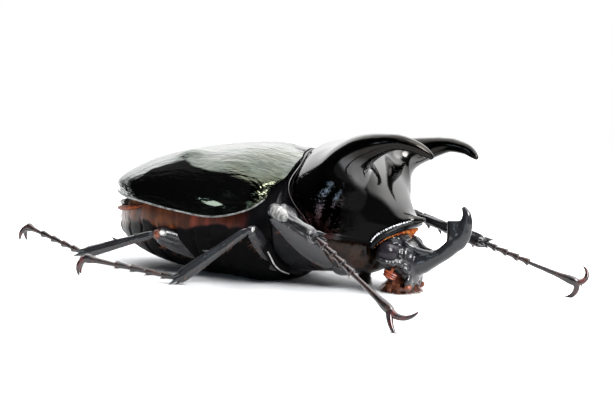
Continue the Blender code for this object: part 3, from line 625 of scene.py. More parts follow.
def wing_case_finish(look):
    """Near-black green shell under fine wavy wrinkles that run along it, with painted shade and
    reflections.
    """
    f = Finish("wing_case")
    along = f.stretched((0.3, 1.0, 1.0), (0.0, 0.12, 0.1))
    wrinkles = f.noise(900.0, 4.0, along, 1.2)
    broad = f.noise(260.0, 3.0, along, 1.5)
    grain = f.noise(2600.0, 2.0)
    pits = f.cells(900.0)
    height = wrinkles * 0.35 + broad * 1.0 + grain * 0.04 + pits * 0.05
    x, z = f.axis("X"), f.axis("Z")
    warm = x.between(-0.022, 0.006) * f.noise(60.0, 2.0).between(0.3, 0.6)
    sheen = f.mix(warm, look.wing_colour, look.wing_colour_warm)
    # Painted shade in the furrows of the wrinkles
    furrow_shade = (1.0 - wrinkles.between(0.38, 0.62)) * 0.45
    sheen = f.mix(furrow_shade, sheen, look.wing_furrow_painted_shade)
    # Painted dark reflection of the studio, below the crest, behind the shoulder and off the base
    crest = f.ramp((x + 0.032) * 25.0, *((place, (lift,) * 3) for place, lift in WING_SHADE))
    shade = (crest + broad * 0.10 - 0.05 - (z - 0.015) * 100.0).between(0.0, 0.05)
    shade = shade * (x + z * 1.41).between(-0.0050, -0.0022)
    shade = shade * (1.0 - x.between(0.0035, 0.0050))
    # The painted mint highlight above the margin, a leaning oval
    ahead, up = (x - GLEAM_PLACE[0]) * 290.0, (z + x * 0.10 - GLEAM_PLACE[1]) * 1500.0
    flare = 1.0 - (ahead * ahead + up * up + ahead * up * 0.8 + grain * 0.4).between(0.7, 1.3)
    sheen = f.mix(flare, sheen, look.wing_painted_gleam)
    shade = shade * (1.0 - flare) * 0.97
    return f.shell(sheen, 0.07 + 0.06 * grain, f.bump(height, 0.32), 1.0, shade)


def shield_finish(look):
    """Polished black, finely grained on the flanks, with satin horns, red-brown patches and painted
    reflections.
    """
    f = Finish("shield_black")
    x, z = f.axis("X"), f.axis("Z")
    # Shares of the long horns, the grained flank and the face
    horns = x.between(0.019, 0.027) * z.between(0.0258, 0.0278)
    grain = f.noise(2600.0, 3.0)
    speckle = f.noise(1500.0, 3.0).between(0.35, 0.75)
    flank = (1.0 - z.between(0.021, 0.026)) * (1.0 - x.between(0.0235, 0.0255))
    face = x.between(0.0230, 0.0250)
    soft = f.noise(80.0, 3.0, None, 0.5)
    lines = f.noise(700.0, 3.0, f.stretched((0.15, 1.0, 1.0)))
    # Grain of the flank over faint swells, and fine lines along the horns
    height = speckle * (0.02 + flank * 0.34) + grain * 0.05 + soft * 0.8 + lines * horns * 0.4
    # The side, where a dark reflection of the studio is painted: darker, and dead black behind a
    # line that leans ahead; and the warm patches low on it
    side = 1.0 - (x + z * 0.74 + soft * 0.0008).between(0.0409, 0.0425)
    side = side * (1.0 - (z - x * 0.55).between(0.0150, 0.0165))
    ahead = (1.0 - x.between(0.0222, 0.0234)) * (1.0 - (x + z * 1.3).between(0.0488, 0.0500))
    painted_dark_reflection = side * (1.0 - ahead) * 0.9
    warm = side * (1.0 - z.between(0.014, 0.023)) * (1.0 - x.between(0.0245, 0.0265))
    warm = warm * f.noise(170.0, 2.0, None, 0.6).between(0.45, 0.62)
    # Painted reflections by place: brighter on the face, darker low on the face
    colour = f.mix(face * z.between(0.0175, 0.0195), look.shell_mirror, look.painted_face_reflection)
    colour = f.mix(face * (1.0 - z.between(0.0160, 0.0180)), colour, look.painted_face_reflection_low)
    colour = f.mix(horns, colour, look.horn_mirror)
    colour = f.mix(side, colour, look.flank_painted_dark_reflection)
    colour = f.mix(warm, colour, look.shell_mirror_warm)
    return f.shell(colour, 0.05 + 0.06 * grain + 0.09 * horns, f.bump(height, 0.06), 1.0, painted_dark_reflection)


def armour_finish(look, name="leg_black", roughness=0.22, depth=0.07, gloss=0.4):
    """Satin black of the legs and the chest, with pits and scratches."""
    f = Finish(name)
    grain = f.noise(1700.0, 4.0)
    pits = f.cells(800.0).between(0.0, 0.4)
    lumps = f.noise(300.0, 3.0)
    height = grain * 0.3 + pits * 0.45 + lumps * 0.8
    colour = f.mix(lumps, look.shell_colour, look.leg_colour)
    return f.shell(colour, roughness - 0.06 + 0.14 * grain, f.bump(height, depth), IOR=1.55,
                   Specular_IOR_Level=gloss)


def belly_finish(look):
    """Red-brown band under the wing cases over black plates, streaked; painted pale reflections at
    the tail.
    """
    f = Finish("belly_brown")
    streaks = f.noise(900.0, 4.0, f.stretched((1.0, 1.0, 0.15)))
    patches = f.noise(150.0, 3.0, None, 0.8)
    wavy = f.noise(220.0, 2.0) * 0.0035
    # The brown band, paler at the rear and red under the shoulders, then painted pale
    # reflections at the tail
    x, z = f.axis("X"), f.axis("Z")
    rear = 1.0 - x.between(-0.014, -0.007)
    band = (z + wavy + rear * 0.0013).between(0.0128, 0.0138)
    band = band * (1.0 - x.between(-0.001, 0.004))
    glow = (patches * 0.75 + streaks * 0.35).between(0.42, 0.72)
    light = f.mix(rear, look.belly_colour_red, look.belly_colour_light)
    brown = f.mix(glow, look.belly_colour, light)
    tail = 1.0 - x.between(-0.033, -0.027)
    pale = f.mix(streaks.between(0.4, 0.6), look.belly_colour, look.tail_painted_reflection)
    colour = f.mix(band, look.shell_colour, brown)
    colour = f.mix(tail * z.between(0.0075, 0.0095), colour, pale)
    relief = streaks * 0.7 + f.noise(2200.0, 3.0) * 0.3
    # Painted shade of the thighs on the flank's lower part
    shade = (1.0 - band) * (x + wavy).between(-0.031, -0.022) * 0.72
    return f.shell(colour, 0.2 + 0.25 * streaks, f.bump(relief, 0.08), painted_black=shade, IOR=1.45,
                   Specular_IOR_Level=0.1)


def eye_finish(look):
    """Dark violet grey with fine facets, under a thin veil."""
    f = Finish("eye_dark")
    facets = f.cells(5200.0)
    veil = f.noise(260.0, 2.0)
    colour = f.mix(veil, look.eye_colour, look.eye_colour_light)
    return f.shell(colour, 0.14, f.bump(facets, 0.01), IOR=1.5, Specular_IOR_Level=0.16)


def horny_finish(name, colour, light, roughness=0.35, depth=0.05, scale=900.0, gloss=0.5):
    """Brown or orange horny parts, mottled and finely rough."""
    f = Finish(name)
    mottle = f.noise(scale, 4.0)
    tint = f.mix(mottle.between(0.35, 0.7), colour, light)
    return f.shell(tint, roughness - 0.08 + 0.16 * mottle, f.bump(mottle, depth), IOR=1.5,
                   Specular_IOR_Level=gloss)


def floor_finish():
    """Pale matt floor that fades out towards its edge."""
    f = Finish("studio_floor")
    tint = f.mix(f.noise(6.0, 2.0), *FLOOR_SHADES)
    far = f.add("ShaderNodeVectorMath", {"operation": "LENGTH"}, f.where, output=1)
    fade = 1.0 - far.between(0.35 * FLOOR_RADIUS, 0.98 * FLOOR_RADIUS)
    return f.shell(tint, 0.6, Alpha=fade, Specular_IOR_Level=0.2)


# Wing cases

def dome(top, margin, angle, fullness, sweep):
    """Points of the arch from the middle line, at 0 degrees, down to the margin, at 90."""
    a = np.radians(np.abs(angle))
    up = np.where(np.abs(angle) < 89.99, np.cos(a) ** fullness, 0.0)
    x = top[0] + (margin[0] - top[0]) * np.sin(a) ** sweep
    y = np.sign(angle) * np.maximum(abs(margin[1]) * np.sin(a) ** fullness, top[1])
    z = margin[2] + (top[2] - margin[2]) * up
    return np.stack([x, y, z], -1)


def wing_case_grid(rows, angles):
    """Outer face of the left wing case, from its base to its tip and down to its margin."""
    length, wide, top = WING_LENGTH, WING_HALF_WIDTH, WING_TOP
    # Middle line: along and up
    middle = smooth_path([
        (-0.2, WAIST_HEIGHT), (-0.15 * length, top), (-0.32 * length, top - 0.4),
        (-0.52 * length, top - 1.8), (-0.72 * length, top - 4.2), (-0.88 * length, top - 7.4),
        (-0.97 * length, top - 10.2), (-length, top - 12.2),
    ], rows)
    # Margin: along, across and up
    margin = smooth_path([
        (-1.0, wide - 3.4, 18.2), (-4.2, wide - 0.8, 15.6), (-0.24 * length, wide, 13.8),
        (-0.44 * length, wide - 0.5, 14.3), (-0.62 * length, wide - 2.8, 15.0),
        (-0.79 * length, wide - 7.2, 15.3), (-0.90 * length, wide - 11.8, 15.8),
        (-0.975 * length, wide - 17.4, 16.1),
    ], rows)
    grid = []
    for along, (x, z), edge in zip(np.linspace(0, 1, rows), middle, margin):
        fullness = 0.86 + WING_ROOF * (1 - smooth_step(along / 0.25))
        row = dome((x, GAP / 2, z), edge, angles, fullness, 2.0)
        bow = smooth_step((angles - 12) / 18) * (1 - smooth_step((angles - 55) / 20))
        row[:, 0] += WING_BASE_BOW * bow * (1 - smooth_step(along / 0.15))
        grid.append(row)
    return np.array(grid)


def surface_normals(grid):
    """The way out of the surface at each place of a grid."""
    return unit(np.cross(np.gradient(grid, axis=1), np.gradient(grid, axis=0)))


def make_wing_case(name, side, sizes, finish, edge_finish):
    """One wing case: callused at the shoulder and near the tip, with a raised inner seam."""
    angles = 90 * np.linspace(0.0001, 1, 88) ** 0.92
    grid = wing_case_grid(150, angles)
    along = np.linspace(0, 1, len(grid))[:, None]
    down = angles[None, :]
    out = surface_normals(grid)
    if out[..., 2].mean() < 0:
        out = -out
    ends = smooth_step(along / 0.03) * smooth_step((1 - along) / 0.04)
    # Callus of the shoulder, callus near the tip, seam, swelling and hollow of the upper side
    relief = 0.45 * hump(along, 0.10, 0.05) * hump(down, 66, 9)
    relief = relief + 0.25 * hump(along, 0.80, 0.07) * hump(down, 50, 14)
    relief = relief + 0.08 * hump(down, 0, 3.2) - 0.07 * hump(down, 7, 3.0)
    relief = relief + 0.95 * hump(along, 0.415, 0.055) * hump(down, 29.5, 8)
    relief = relief - 0.25 * hump(along, 0.34, 0.04) * hump(down, 18, 9)
    # Dent of the mint gleam, then the coarse and the fine wrinkles
    flare = hump(down, 84, 3.0) * hump(along, 0.275, 0.075)
    relief = relief - 0.34 * flare * (1 + 0.5 * wander(grid, 1.7, 6.0))
    relief = relief + 0.09 * wander(grid * (0.35, 1, 1), 4.2, 3.1) * ends
    relief = relief + 0.035 * wander(grid * (0.5, 1.3, 1.3), 1.6, 8.4) * ends
    grid = grid + out * relief[..., None]
    grid[..., 0] += 1.0 * smooth_step((grid[..., 0] + 7) / 6) * hump(down, 58, 24)
    inner = grid - out * sizes.wing_case_thickness / MM
    for sheet in (grid, inner):
        sheet[..., 1] = np.maximum(sheet[..., 1], GAP / 2 * 0.8)
        sheet[..., 1] *= side
    shape = Shape()
    shape.sheets(grid, inner)
    bead = grid[2:-1, -1] + out[2:-1, -1] * (1, side, 1) * 0.05
    shape.tube(bead, 0.19, sides=10, slot=1)
    node = name.replace("wing_case", "elytron")
    piece(name, shape, [finish, edge_finish], [node])


def make_scutellum(finish):
    """The small heart-shaped plate between the bases of the wing cases."""
    shape = Shape()
    rows = []
    for t in np.linspace(0, 1, 22):
        half = 3.2 * (1 - t**1.6) ** 0.75 + 0.02
        across = np.linspace(-1, 1, 25)
        z = WAIST_HEIGHT + 0.42 + 0.4 * t - 0.5 * across**2 - 0.9 * np.abs(across) ** 9
        rows.append(np.stack([np.full(25, 0.1 - 5.2 * t), half * across, z], -1))
    rows = np.array(rows)
    shape.grid(rows)
    shape.grid(rows - (0, 0, 0.8))
    piece("scutellum_plate", shape, [finish], ["scutellum"])


# Shield with its three horns

def shield_lines(rows):
    """The middle line of the shield, by along and up, and its side margin, by along, across and
    up, both from its hind edge to its front rim."""
    wide, top = SHIELD_HALF_WIDTH, SHIELD_TOP
    middle = smooth_path([
        (GAP, WAIST_HEIGHT), (3.4, top - 1.1), (7.6, top), (11.4, top - 0.4),
        (15.2, top - 2.8), (18.7, top - 6.9), (21.0, top - 11.0), (22.7, top - 14.0),
        (23.9, 15.2),
    ], rows)
    margin = smooth_path([
        (9.2, wide - 0.3, 12.6), (10.6, wide, 12.2), (12.2, wide - 0.2, 12.0),
        (13.8, wide - 1.0, 11.8), (15.4, wide - 2.2, 11.6), (16.8, wide - 3.8, 11.3),
        (17.9, wide - 5.4, 11.0), (18.6, wide - 6.7, 10.7), (18.9, wide - 7.8, 10.3),
    ], rows)
    return middle, margin


def shield_grids(rows, cols):
    """The shield's outer face and the face under it."""
    angles = np.linspace(-90, 90, cols)
    middle, margin = shield_lines(rows)
    upper, lower = [], []
    for ahead, (x, z), edge in zip(np.linspace(0, 1, rows), middle, margin):
        arch = smooth_step((ahead - 0.72) / 0.28)
        sweep = 9.0 - 7.0 * smooth_step(ahead / 0.6)
        fullness = 0.92 + SHIELD_ROOF * (1 - smooth_step(ahead / 0.45))
        row = dome((x, 0.0, z), edge, angles, fullness, sweep)
        bow = hump(np.abs(angles), 33, 15) * (1 - smooth_step(ahead / 0.3))
        row[:, 0] += SHIELD_BASE_BOW * bow
        swell = hump(np.abs(angles), SHOULDER_ANGLE, 15) * SHOULDER * hump(ahead, 0.45, 0.13)
        row = row + swell[:, None] * np.stack(
            [np.full(cols, 0.8), 0.1 * np.sign(angles), np.full(cols, 0.45)], -1)
        fill = hump(np.abs(angles), 55, 14) * FLANK_FILL * hump(ahead, 0.48, 0.2)
        row = row + fill[:, None] * np.stack(
            [np.full(cols, 0.2), np.sign(angles), np.full(cols, 0.1)], -1)
        dent = FACE_DENT * hump(angles, 0, 24) * hump(ahead, 0.64, 0.15)
        row = row - dent[:, None] * np.array([0.85, 0.0, 0.5])
        under = np.stack([np.full(cols, edge[0]), row[:, 1], np.full(cols, edge[2])], -1)
        under = under + (row - under) * arch - (0.3 * arch, 0, 0.6 + (SHIELD_LIP - 0.6) * arch)
        upper.append(row)
        lower.append(under)
    return np.array(upper), np.array(lower)


def long_horn(shape, side):
    """A long forward horn that spreads, then bows in and down to its tip."""
    spread = HORN_SPREAD
    tip_x, tip_y, tip_z = HORN_TIP
    # Along, across, up, half width and half depth
    stations = smooth_path([
        (9.0, 8.2, 21.0, 4.8, 4.6), (13.0, 10.4, 25.0, 4.3, 4.1),
        (17.2, spread - 1.5, 27.8, 3.35, 3.35), (21.2, spread - 0.2, 29.4, 2.5, 2.6),
        (25.2, spread, 30.3, 1.6, 2.0), (28.6, spread - 0.8, 29.7, 1.25, 1.45),
        (30.8, tip_y + 0.5, 28.6, 0.95, 0.98), (tip_x, tip_y, tip_z, 0.45, 0.45),
    ], 60)
    places = stations[:, :3] * (1, side, 1)
    middle, end = HORN_LIFTS[side]
    lift = middle + (end - middle) * smooth_step((stations[:, 0] - 26) / 5)
    places[:, 2] += lift * smooth_step((stations[:, 0] - 10) / 10)

    def keel(t, angle):
        """Faint edges on both sides, fading towards the tip."""
        return 0.10 * np.cos(angle) ** 8 * np.sign(np.cos(angle)) * smooth_step(1.6 - 1.6 * t)

    shape.rod(places, stations[:, 3], stations[:, 4], sides=28, relief=keel)


def make_shield(sizes, finish, rim_finish, bead_highlight_finish):
    """The front shield and its horns as one skin, then its rims."""
    upper, lower = shield_grids(70, SHIELD_COLUMNS)
    shape = Shape()
    shape.sheets(upper, lower)
    for side in (-1, 1):
        long_horn(shape, side)
    # The small middle horn
    short = smooth_path([(20.6, 14.6, 3.2, 1.8), (23.0, 14.6, 2.3, 1.4), (24.6, 14.7, 1.3, 0.95),
                         (25.6, 14.85, 0.8, 0.65), (26.3, 15.1, 0.35, 0.35)], 24)
    shape.middle_rod(short, 20)
    skin = piece("shield_skin", shape, [finish],
                 ["pronotum", "thoracic_horn_left", "thoracic_horn_right",
                  "thoracic_horn_middle"])
    one_skin(skin, sizes.skin_voxel / MM, 8, [finish])

    def horn_roots(places):
        """Share of smoothing where the long horns grow out of the shield."""
        x, y, z = places.T
        beside = smooth_step((np.abs(y) - 4) / 4)
        return smooth_step((20 - x) / 5) * smooth_step((z - 17) / 4) * beside

    def face_and_flanks(places):
        """Share of smoothing between base, horn tips and margin."""
        x, _, z = places.T
        clear = smooth_step((26.5 - x) / 5) * smooth_step((x - 3) / 3)
        return clear * smooth_step((z - 11.5) / 3)

    ease(skin, horn_roots, 260)
    ease(skin, face_and_flanks, 110)
    reshape(skin, lambda places, normals: normals * 0.45 * horn_roots(places)[:, None])

    # Beads along the base and the margins, then the front rim's roll
    rims = Shape()
    rims.tube(upper[0, 2:-2] + (-0.05, 0, 0.05), 0.26, sides=10)
    for edge in (upper[:-3, 1], upper[:-3, -2]):
        rims.tube(edge + (0, 0, -0.3), 0.24, sides=10)
    front = (upper[-1, RIM_COLUMNS] + lower[-1, RIM_COLUMNS]) / 2
    roll = smooth_path(front + (0.1, 0, -0.38), 420)
    across = np.linspace(-1, 1, len(roll))
    thick = 0.95 - 0.22 * np.abs(across) ** 4
    notches = 0.06 * np.sin(np.linspace(0, 84 * math.pi, len(roll)))
    rims.rod(roll, thick * 0.8, thick, sides=24, broad=(0.6, 0, -0.8), slot=1)
    # The notched bead lies on the roll, a little out to the sides, pale as a painted highlight
    outward = np.sign(roll[:, 1]) * np.minimum(np.abs(roll[:, 1]) / 4, 1)
    crest = roll + outward[:, None] * (0, 0.60, 0) + (-0.02, 0, 0.80)
    rims.tube(crest[12:-12], 0.18 + notches[12:-12], sides=10, slot=2)
    piece("shield_rims", rims, [finish, rim_finish, bead_highlight_finish])


# Head

def make_head(sizes, finish):
    """The bent-down head with its up-curved horn, cheek plates and forked upper lip."""
    shape = Shape()
    # Skull and horn, by along, up, half width and half depth
    skull = smooth_path([
        (18.6, 7.4, 3.4, 5.8), (20.3, 7.5, 3.8, 5.9), (22.2, 6.6, 3.6, 4.9),
        (23.4, 4.8, 2.6, 3.9), (24.1, 2.9, 1.4, 3.2), (24.3, 1.4, 0.6, 2.5),
    ], 30)
    shape.middle_rod(skull, 36, (0.3, 0, 1))
    shape.ball((20.3, 0, 10.9), (2.4, 4.6, 2.0), segments=28)
    tip = HEAD_HORN_TIP
    horn = smooth_path([
        (22.6, 5.6, 3.0, 3.0), (26.0, 6.4, 2.4, 2.4), (28.3, 7.3, 1.9, 1.7),
        (30.3, 8.4, 1.65, 1.5), (32.0, 9.9, 1.55, 1.55), (33.4, 11.5, 1.45, 1.9),
        (34.2, 13.2, 1.25, 1.95), (34.9, 14.9, 1.05, 1.4), (35.0, 16.6, 0.8, 0.95),
        (tip[0], tip[2], 0.4, 0.4),
    ], 70)
    shape.middle_rod(horn, 28)
    # The blunt tooth on the horn's upper side
    tooth = np.linspace(0, 1, 9)[:, None]
    shape.rod(np.array([32.6, 0, 11.4]) + tooth * (-0.3, 0, 4.0), 1.35 - 0.45 * tooth[:, 0] ** 2,
              1.5 - 0.1 * tooth[:, 0], sides=24, broad=(0, 1, 0))
    for side in (-1, 1):
        # A ridge beside the horn's root, cheek plates, a brow round the eye and the upper lip
        ridge = smooth_path([(20.6, side * 2.6, 11.0), (23.0, side * 2.5, 10.3),
                             (25.6, side * 1.7, 8.9), (28.2, side * 0.9, 8.4)], 20)
        shape.tube(ridge, np.linspace(0.75, 0.6, 20), sides=10)
        shape.ball((23.0, side * 5.5, 6.5), (1.6, 1.5, 0.9), (20 * side, 35, 0), 16)
        shape.ball((24.0, side * 3.9, 5.2), (1.3, 1.2, 0.8), (25 * side, 45, 0), 14)
        brow = smooth_path([(23.6, side * 4.8, 7.0), (22.7, side * 7.2, 6.7),
                            (21.4, side * 8.5, 6.9), (20.2, side * 8.6, 7.4)], 20)
        shape.tube(brow, np.linspace(0.95, 0.45, 20), sides=12)
        shape.ball((24.4, side * 2.5, 2.3), (0.7, 1.6, 1.7), (0, 10, 0), 16)
        shape.spine((24.3, side * 1.4, 1.6), (24.8, side * 1.7, 0.0), 0.75, sides=12)
    head = piece("head_skin", shape, [finish], ["head", "head_horn"])
    one_skin(head, sizes.skin_voxel / MM * 0.6, 5, [finish])

    def sculpt(places, normals):
        """Lumps of the crown beside the horn's root, and faint ones all over."""
        crown = hump(places[:, 0], 23.2, 1.9) * hump(places[:, 2], 8.0, 3.2)
        lumps = (wander(places * (1, 1, 0.5), 1.05, 4.0) * 0.42
                 + wander(places, 0.5, 7.0) * 0.06) * crown + wander(places, 1.9, 9.0) * 0.12
        return normals * lumps[:, None]

    reshape(head, sculpt)


def make_eyes(finish):
    """Two round eyes that bulge from the sides of the head."""
    for name, side in SIDES:
        x, y, z = EYE_PLACE
        shape = Shape()
        shape.ball((x, side * y, z), EYE_RADII, segments=64)
        piece(f"eye_ball_{name}", shape, [finish], [f"eye_{name}"])


def make_feelers(finish, dark):
    """Elbowed feelers that end in a club of three leaves."""
    for name, side in SIDES:
        shape = Shape()
        stalk = smooth_path([(22.2, side * 5.2, 5.4), (22.5, side * 6.8, 5.1),
                             (22.7, side * 7.8, 4.8), (22.8, side * 8.2, 4.6)], 18)
        beads = 0.30 + 0.07 * np.abs(np.sin(np.linspace(0, 5 * math.pi, 18)))
        shape.rod(stalk, beads, beads, sides=12, slot=1)
        for k in range(3):
            place = (23.0 - 0.18 * k, side * (8.35 + 0.12 * k), 4.75 - 0.34 * k)
            shape.ball(place, (1.45, 0.85, 0.3), (side * 14, 16, side * 10), 24,
                       relief=lambda p: 0.1 * wander(p, 0.5, 2.0))
        piece(f"feeler_{name}", shape, [finish, dark], [f"antenna_{name}"])


def make_mouth(finish, dark):
    """Jaws, lips and palps under the head."""
    shape = Shape()
    shape.ball((21.4, 0, 2.0), (2.6, 3.0, 1.4), (0, 30, 0), 24)
    shape.ball((20.4, 0, 3.4), (2.4, 3.6, 1.6), (0, 20, 0), 24)
    for side in (-1, 1):
        shape.ball((22.4, side * 2.2, 1.15), (1.8, 1.0, 0.9), (0, 25, side * 12), 20, slot=1)
        shape.ball((23.2, side * 1.0, 0.95), (1.1, 0.7, 0.6), (0, 20, 0), 16)
        for knots, radii in (
            ([(21.0, side * 2.2, 1.6), (22.4, side * 3.9, 1.1), (24.0, side * 3.8, 1.1),
              (25.3, side * 3.2, 1.7)], (0.5, 0.35, 0.48, 0.34, 0.5, 0.36, 0.6, 0.62, 0.2)),
            ([(20.2, side * 1.6, 1.5), (20.3, side * 3.0, 0.9), (21.0, side * 4.2, 0.8)],
             (0.45, 0.3, 0.42, 0.3, 0.42, 0.32, 0.46, 0.45, 0.16)),
        ):
            widths = smooth_path([(r, 0) for r in radii], 34)[:, 0]
            shape.tube(smooth_path(knots, 34), widths, sides=12)
    piece("mouth", shape, [finish, dark], ["mouthparts"])


# Trunk

def trunk_rings(stations, points):
    """Rings of the body, a dome above the widest line and a flatter belly below it, by
    stations of along, half width, height of the widest line, top and bottom."""
    a = np.linspace(0, 2 * np.pi, points, endpoint=False)
    across, up = np.cos(a), np.sin(a)
    rings = []
    for x, half, waist_z, top, bottom in stations:
        power = np.where(up > 0, 1.0, 1.05)
        y = half * np.sign(across) * np.abs(across) ** power
        reach = np.where(up > 0, top - waist_z, waist_z - bottom)
        z = waist_z + reach * np.sign(up) * np.abs(up) ** 0.9
        rings.append(np.stack([np.full(points, x), y, np.maximum(z, 0.0)], -1))
    return np.array(rings)


def out_of_trunk(rings):
    """The way to each place of the rings from the trunk's middle line."""
    return unit(rings - (rings * (1, 0, 0) + (0, 0, TRUNK_MIDDLE)))


def make_abdomen(finish):
    """The hind body, with its overlapping belly plates and the soft seam of its flanks."""
    wide = BELLY_HALF_WIDTH
    stations = smooth_path([
        (-13.1, wide, 12.5, 24.4, -0.6), (-22.0, wide - 0.2, 12.3, 24.2, -0.5),
        (-29.0, wide - 1.6, 12.1, 22.6, 0.2), (-35.0, wide - 4.6, 11.9, 20.6, 1.2),
        (-39.5, wide - 7.4, 10.8, 17.4, 2.6), (-43.0, wide - 10.6, 9.2, 14.4, 4.6),
    ], 150)
    shape = Shape()
    rings = trunk_rings(stations, 120)
    x = rings[..., 0]
    # Belly plates 5 mm long that overlap backwards, and the seam above them
    plates = ((-12.6 - x) / 5.0) % 1.0
    below = smooth_step((11.5 - rings[..., 2]) / 1.5)
    lap = (0.30 * smooth_step(plates / 0.12) - 0.34 * smooth_step((plates - 0.82) / 0.18)) * below
    seam = 0.35 * hump(rings[..., 2], 9.3, 0.55)
    rings = rings + out_of_trunk(rings) * (lap - 0.25 * below - seam)[..., None]
    rings[..., 2] = np.maximum(rings[..., 2], 0.0)
    shape.loft(rings)
    piece("hind_body", shape, [finish], ["abdomen"], sharp=60)


def make_tail_plate(finishes):
    """The tail plate that closes the hind body, with the flange above it."""
    shape = Shape()
    stations = smooth_path([
        (-42.6, 6.8, 9.0, 14.0, 4.6), (-43.5, 5.6, 8.9, 12.8, 5.4),
        (-44.6, 3.6, 8.8, 11.6, 6.6), (-45.2, 1.2, 8.8, 10.2, 7.8),
    ], 26)
    shape.loft(trunk_rings(stations, 64))
    # The orange lip, given from its middle to its right end and mirrored; the grey plate on it
    lip = [(-45.4, 0.0, 11.5), (-44.6, -3.6, 11.6), (-42.6, -6.9, 11.9), (-38.0, -11.3, 12.7),
           (-31.8, -14.9, 13.9)]
    lip = smooth_path([(x, -y, z) for x, y, z in reversed(lip[1:])] + lip, 80)
    ends = smooth_step((1 - np.abs(np.linspace(-1, 1, 80))) * 6) * 0.9 + 0.1
    shape.rod(lip, 0.6 * ends, 1.2 * ends, sides=16, slot=1)
    shape.rod(lip[12:-12] + (0.5, 0, 1.35), 0.75, 1.1, sides=16, slot=2)
    piece("tail_plate", shape, finishes, ["pygidium"], sharp=70)


def make_chest(finish, belly, brown, pale):
    """The hind, middle and front chest under the shell, with their plate edges."""
    wide = BELLY_HALF_WIDTH
    for name, node, stations in (
        ("hind_chest", "metathorax",
         [(-13.1, wide, 12.5, 24.4, -1.1), (-10.0, wide - 0.1, 12.5, 24.6, -1.3),
          (-5.0, wide - 0.7, 12.4, 24.5, -1.3), (-0.6, wide - 2.6, 12.2, 23.8, 1.0)]),
        ("middle_chest", "mesothorax",
         [(-0.9, 14.8, 12.6, 23.8, 1.6), (2.6, 12.4, 12.4, 23.4, 2.2),
          (6.2, 10.6, 11.6, 21.4, 2.6)]),
        ("front_chest", "prosternum",
         [(5.9, 11.4, 11.4, 14.6, 2.6), (11.0, 13.0, 10.6, 13.6, 2.8),
          (15.0, 11.8, 10.0, 13.2, 3.0), (17.6, 8.6, 9.4, 12.8, 4.2)]),
    ):
        shape = Shape()
        rings = trunk_rings(smooth_path(stations, 60), 110)
        dents = 0.22 * wander(rings, 3.4, 5.0) + 0.1 * wander(rings, 1.1, 2.0)
        rings = rings + out_of_trunk(rings) * dents[..., None]
        rings[..., 2] = np.maximum(rings[..., 2], 0.0)
        shape.loft(rings)
        if node == "metathorax":
            for turn in (-1, 1):
                edge = smooth_path([(0.5, y * turn, z) for y, z in PLATE_EDGE], 40)
                shape.rod(edge - (0.8, turn * 1.0, -0.8), 0.6, 1.3, sides=12, broad=(1, 0, 0))
                # A pale tube along the edge, a painted highlight
                shape.tube(edge, 0.14, sides=10, slot=1)
        # The spur of the throat
        if node == "prosternum":
            shape.spine((13.0, 0, 4.6), (13.9, 0, 0.9), 1.0, sides=12)
        look = {"prosternum": brown, "metathorax": belly}.get(node, finish)
        piece(name, shape, [look, pale], [node], sharp=60)


# Legs

def claw_path(root, ahead, curl, length, bend, steps=22):
    """Places along a hook that starts ahead and turns towards curl by bend degrees."""
    ahead = unit(ahead)
    curl = np.asarray(curl, float)
    curl = unit(curl - curl.dot(ahead) * ahead)
    a = np.radians(bend) * (np.arange(steps)[:, None] + 0.5) / steps
    moves = (ahead * np.cos(a) + curl * np.sin(a)) * length / steps
    return np.vstack([root, np.asarray(root) + np.cumsum(moves, axis=0)])


def leg_axes(start, finish):
    """Ways along a limb, across it and up from it."""
    along = unit(finish - start)
    across = unit(np.cross(along, (0, 0, 1)))
    return along, across, np.cross(across, along)


def facing_way(way, place):
    """The way for the side of the body that the place is on."""
    return unit(np.array(way) * (1, -np.sign(place[1]), 1))


def oval_plate(shape, places, along, facing, half, depth, slot):
    """A thin oval plate along the places; depth is the share of its half width."""
    wide = half * np.sqrt(np.clip(1 - np.linspace(-1, 1, len(places)) ** 2, 0.02, 1))
    shape.rod(places, wide, wide * depth, sides=24, broad=np.cross(facing, along), slot=slot)


def make_coxa(leg, joints, finish):
    """A hip, an oval body with a ball where the thigh starts."""
    hip, knee = joints[:2]
    thigh = unit(knee - hip)
    shape = Shape()
    shape.ball(hip - thigh * 0.6, HIP_RADII[leg.split("_")[0]], segments=32,
               relief=lambda p: 0.03 * wander(p, 0.4, 1.0))
    shape.ball(hip + thigh * 1.3, (1.5, 1.5, 1.5), segments=20)
    piece(f"hip_{leg}", shape, [finish], [f"leg_{leg}_coxa"])


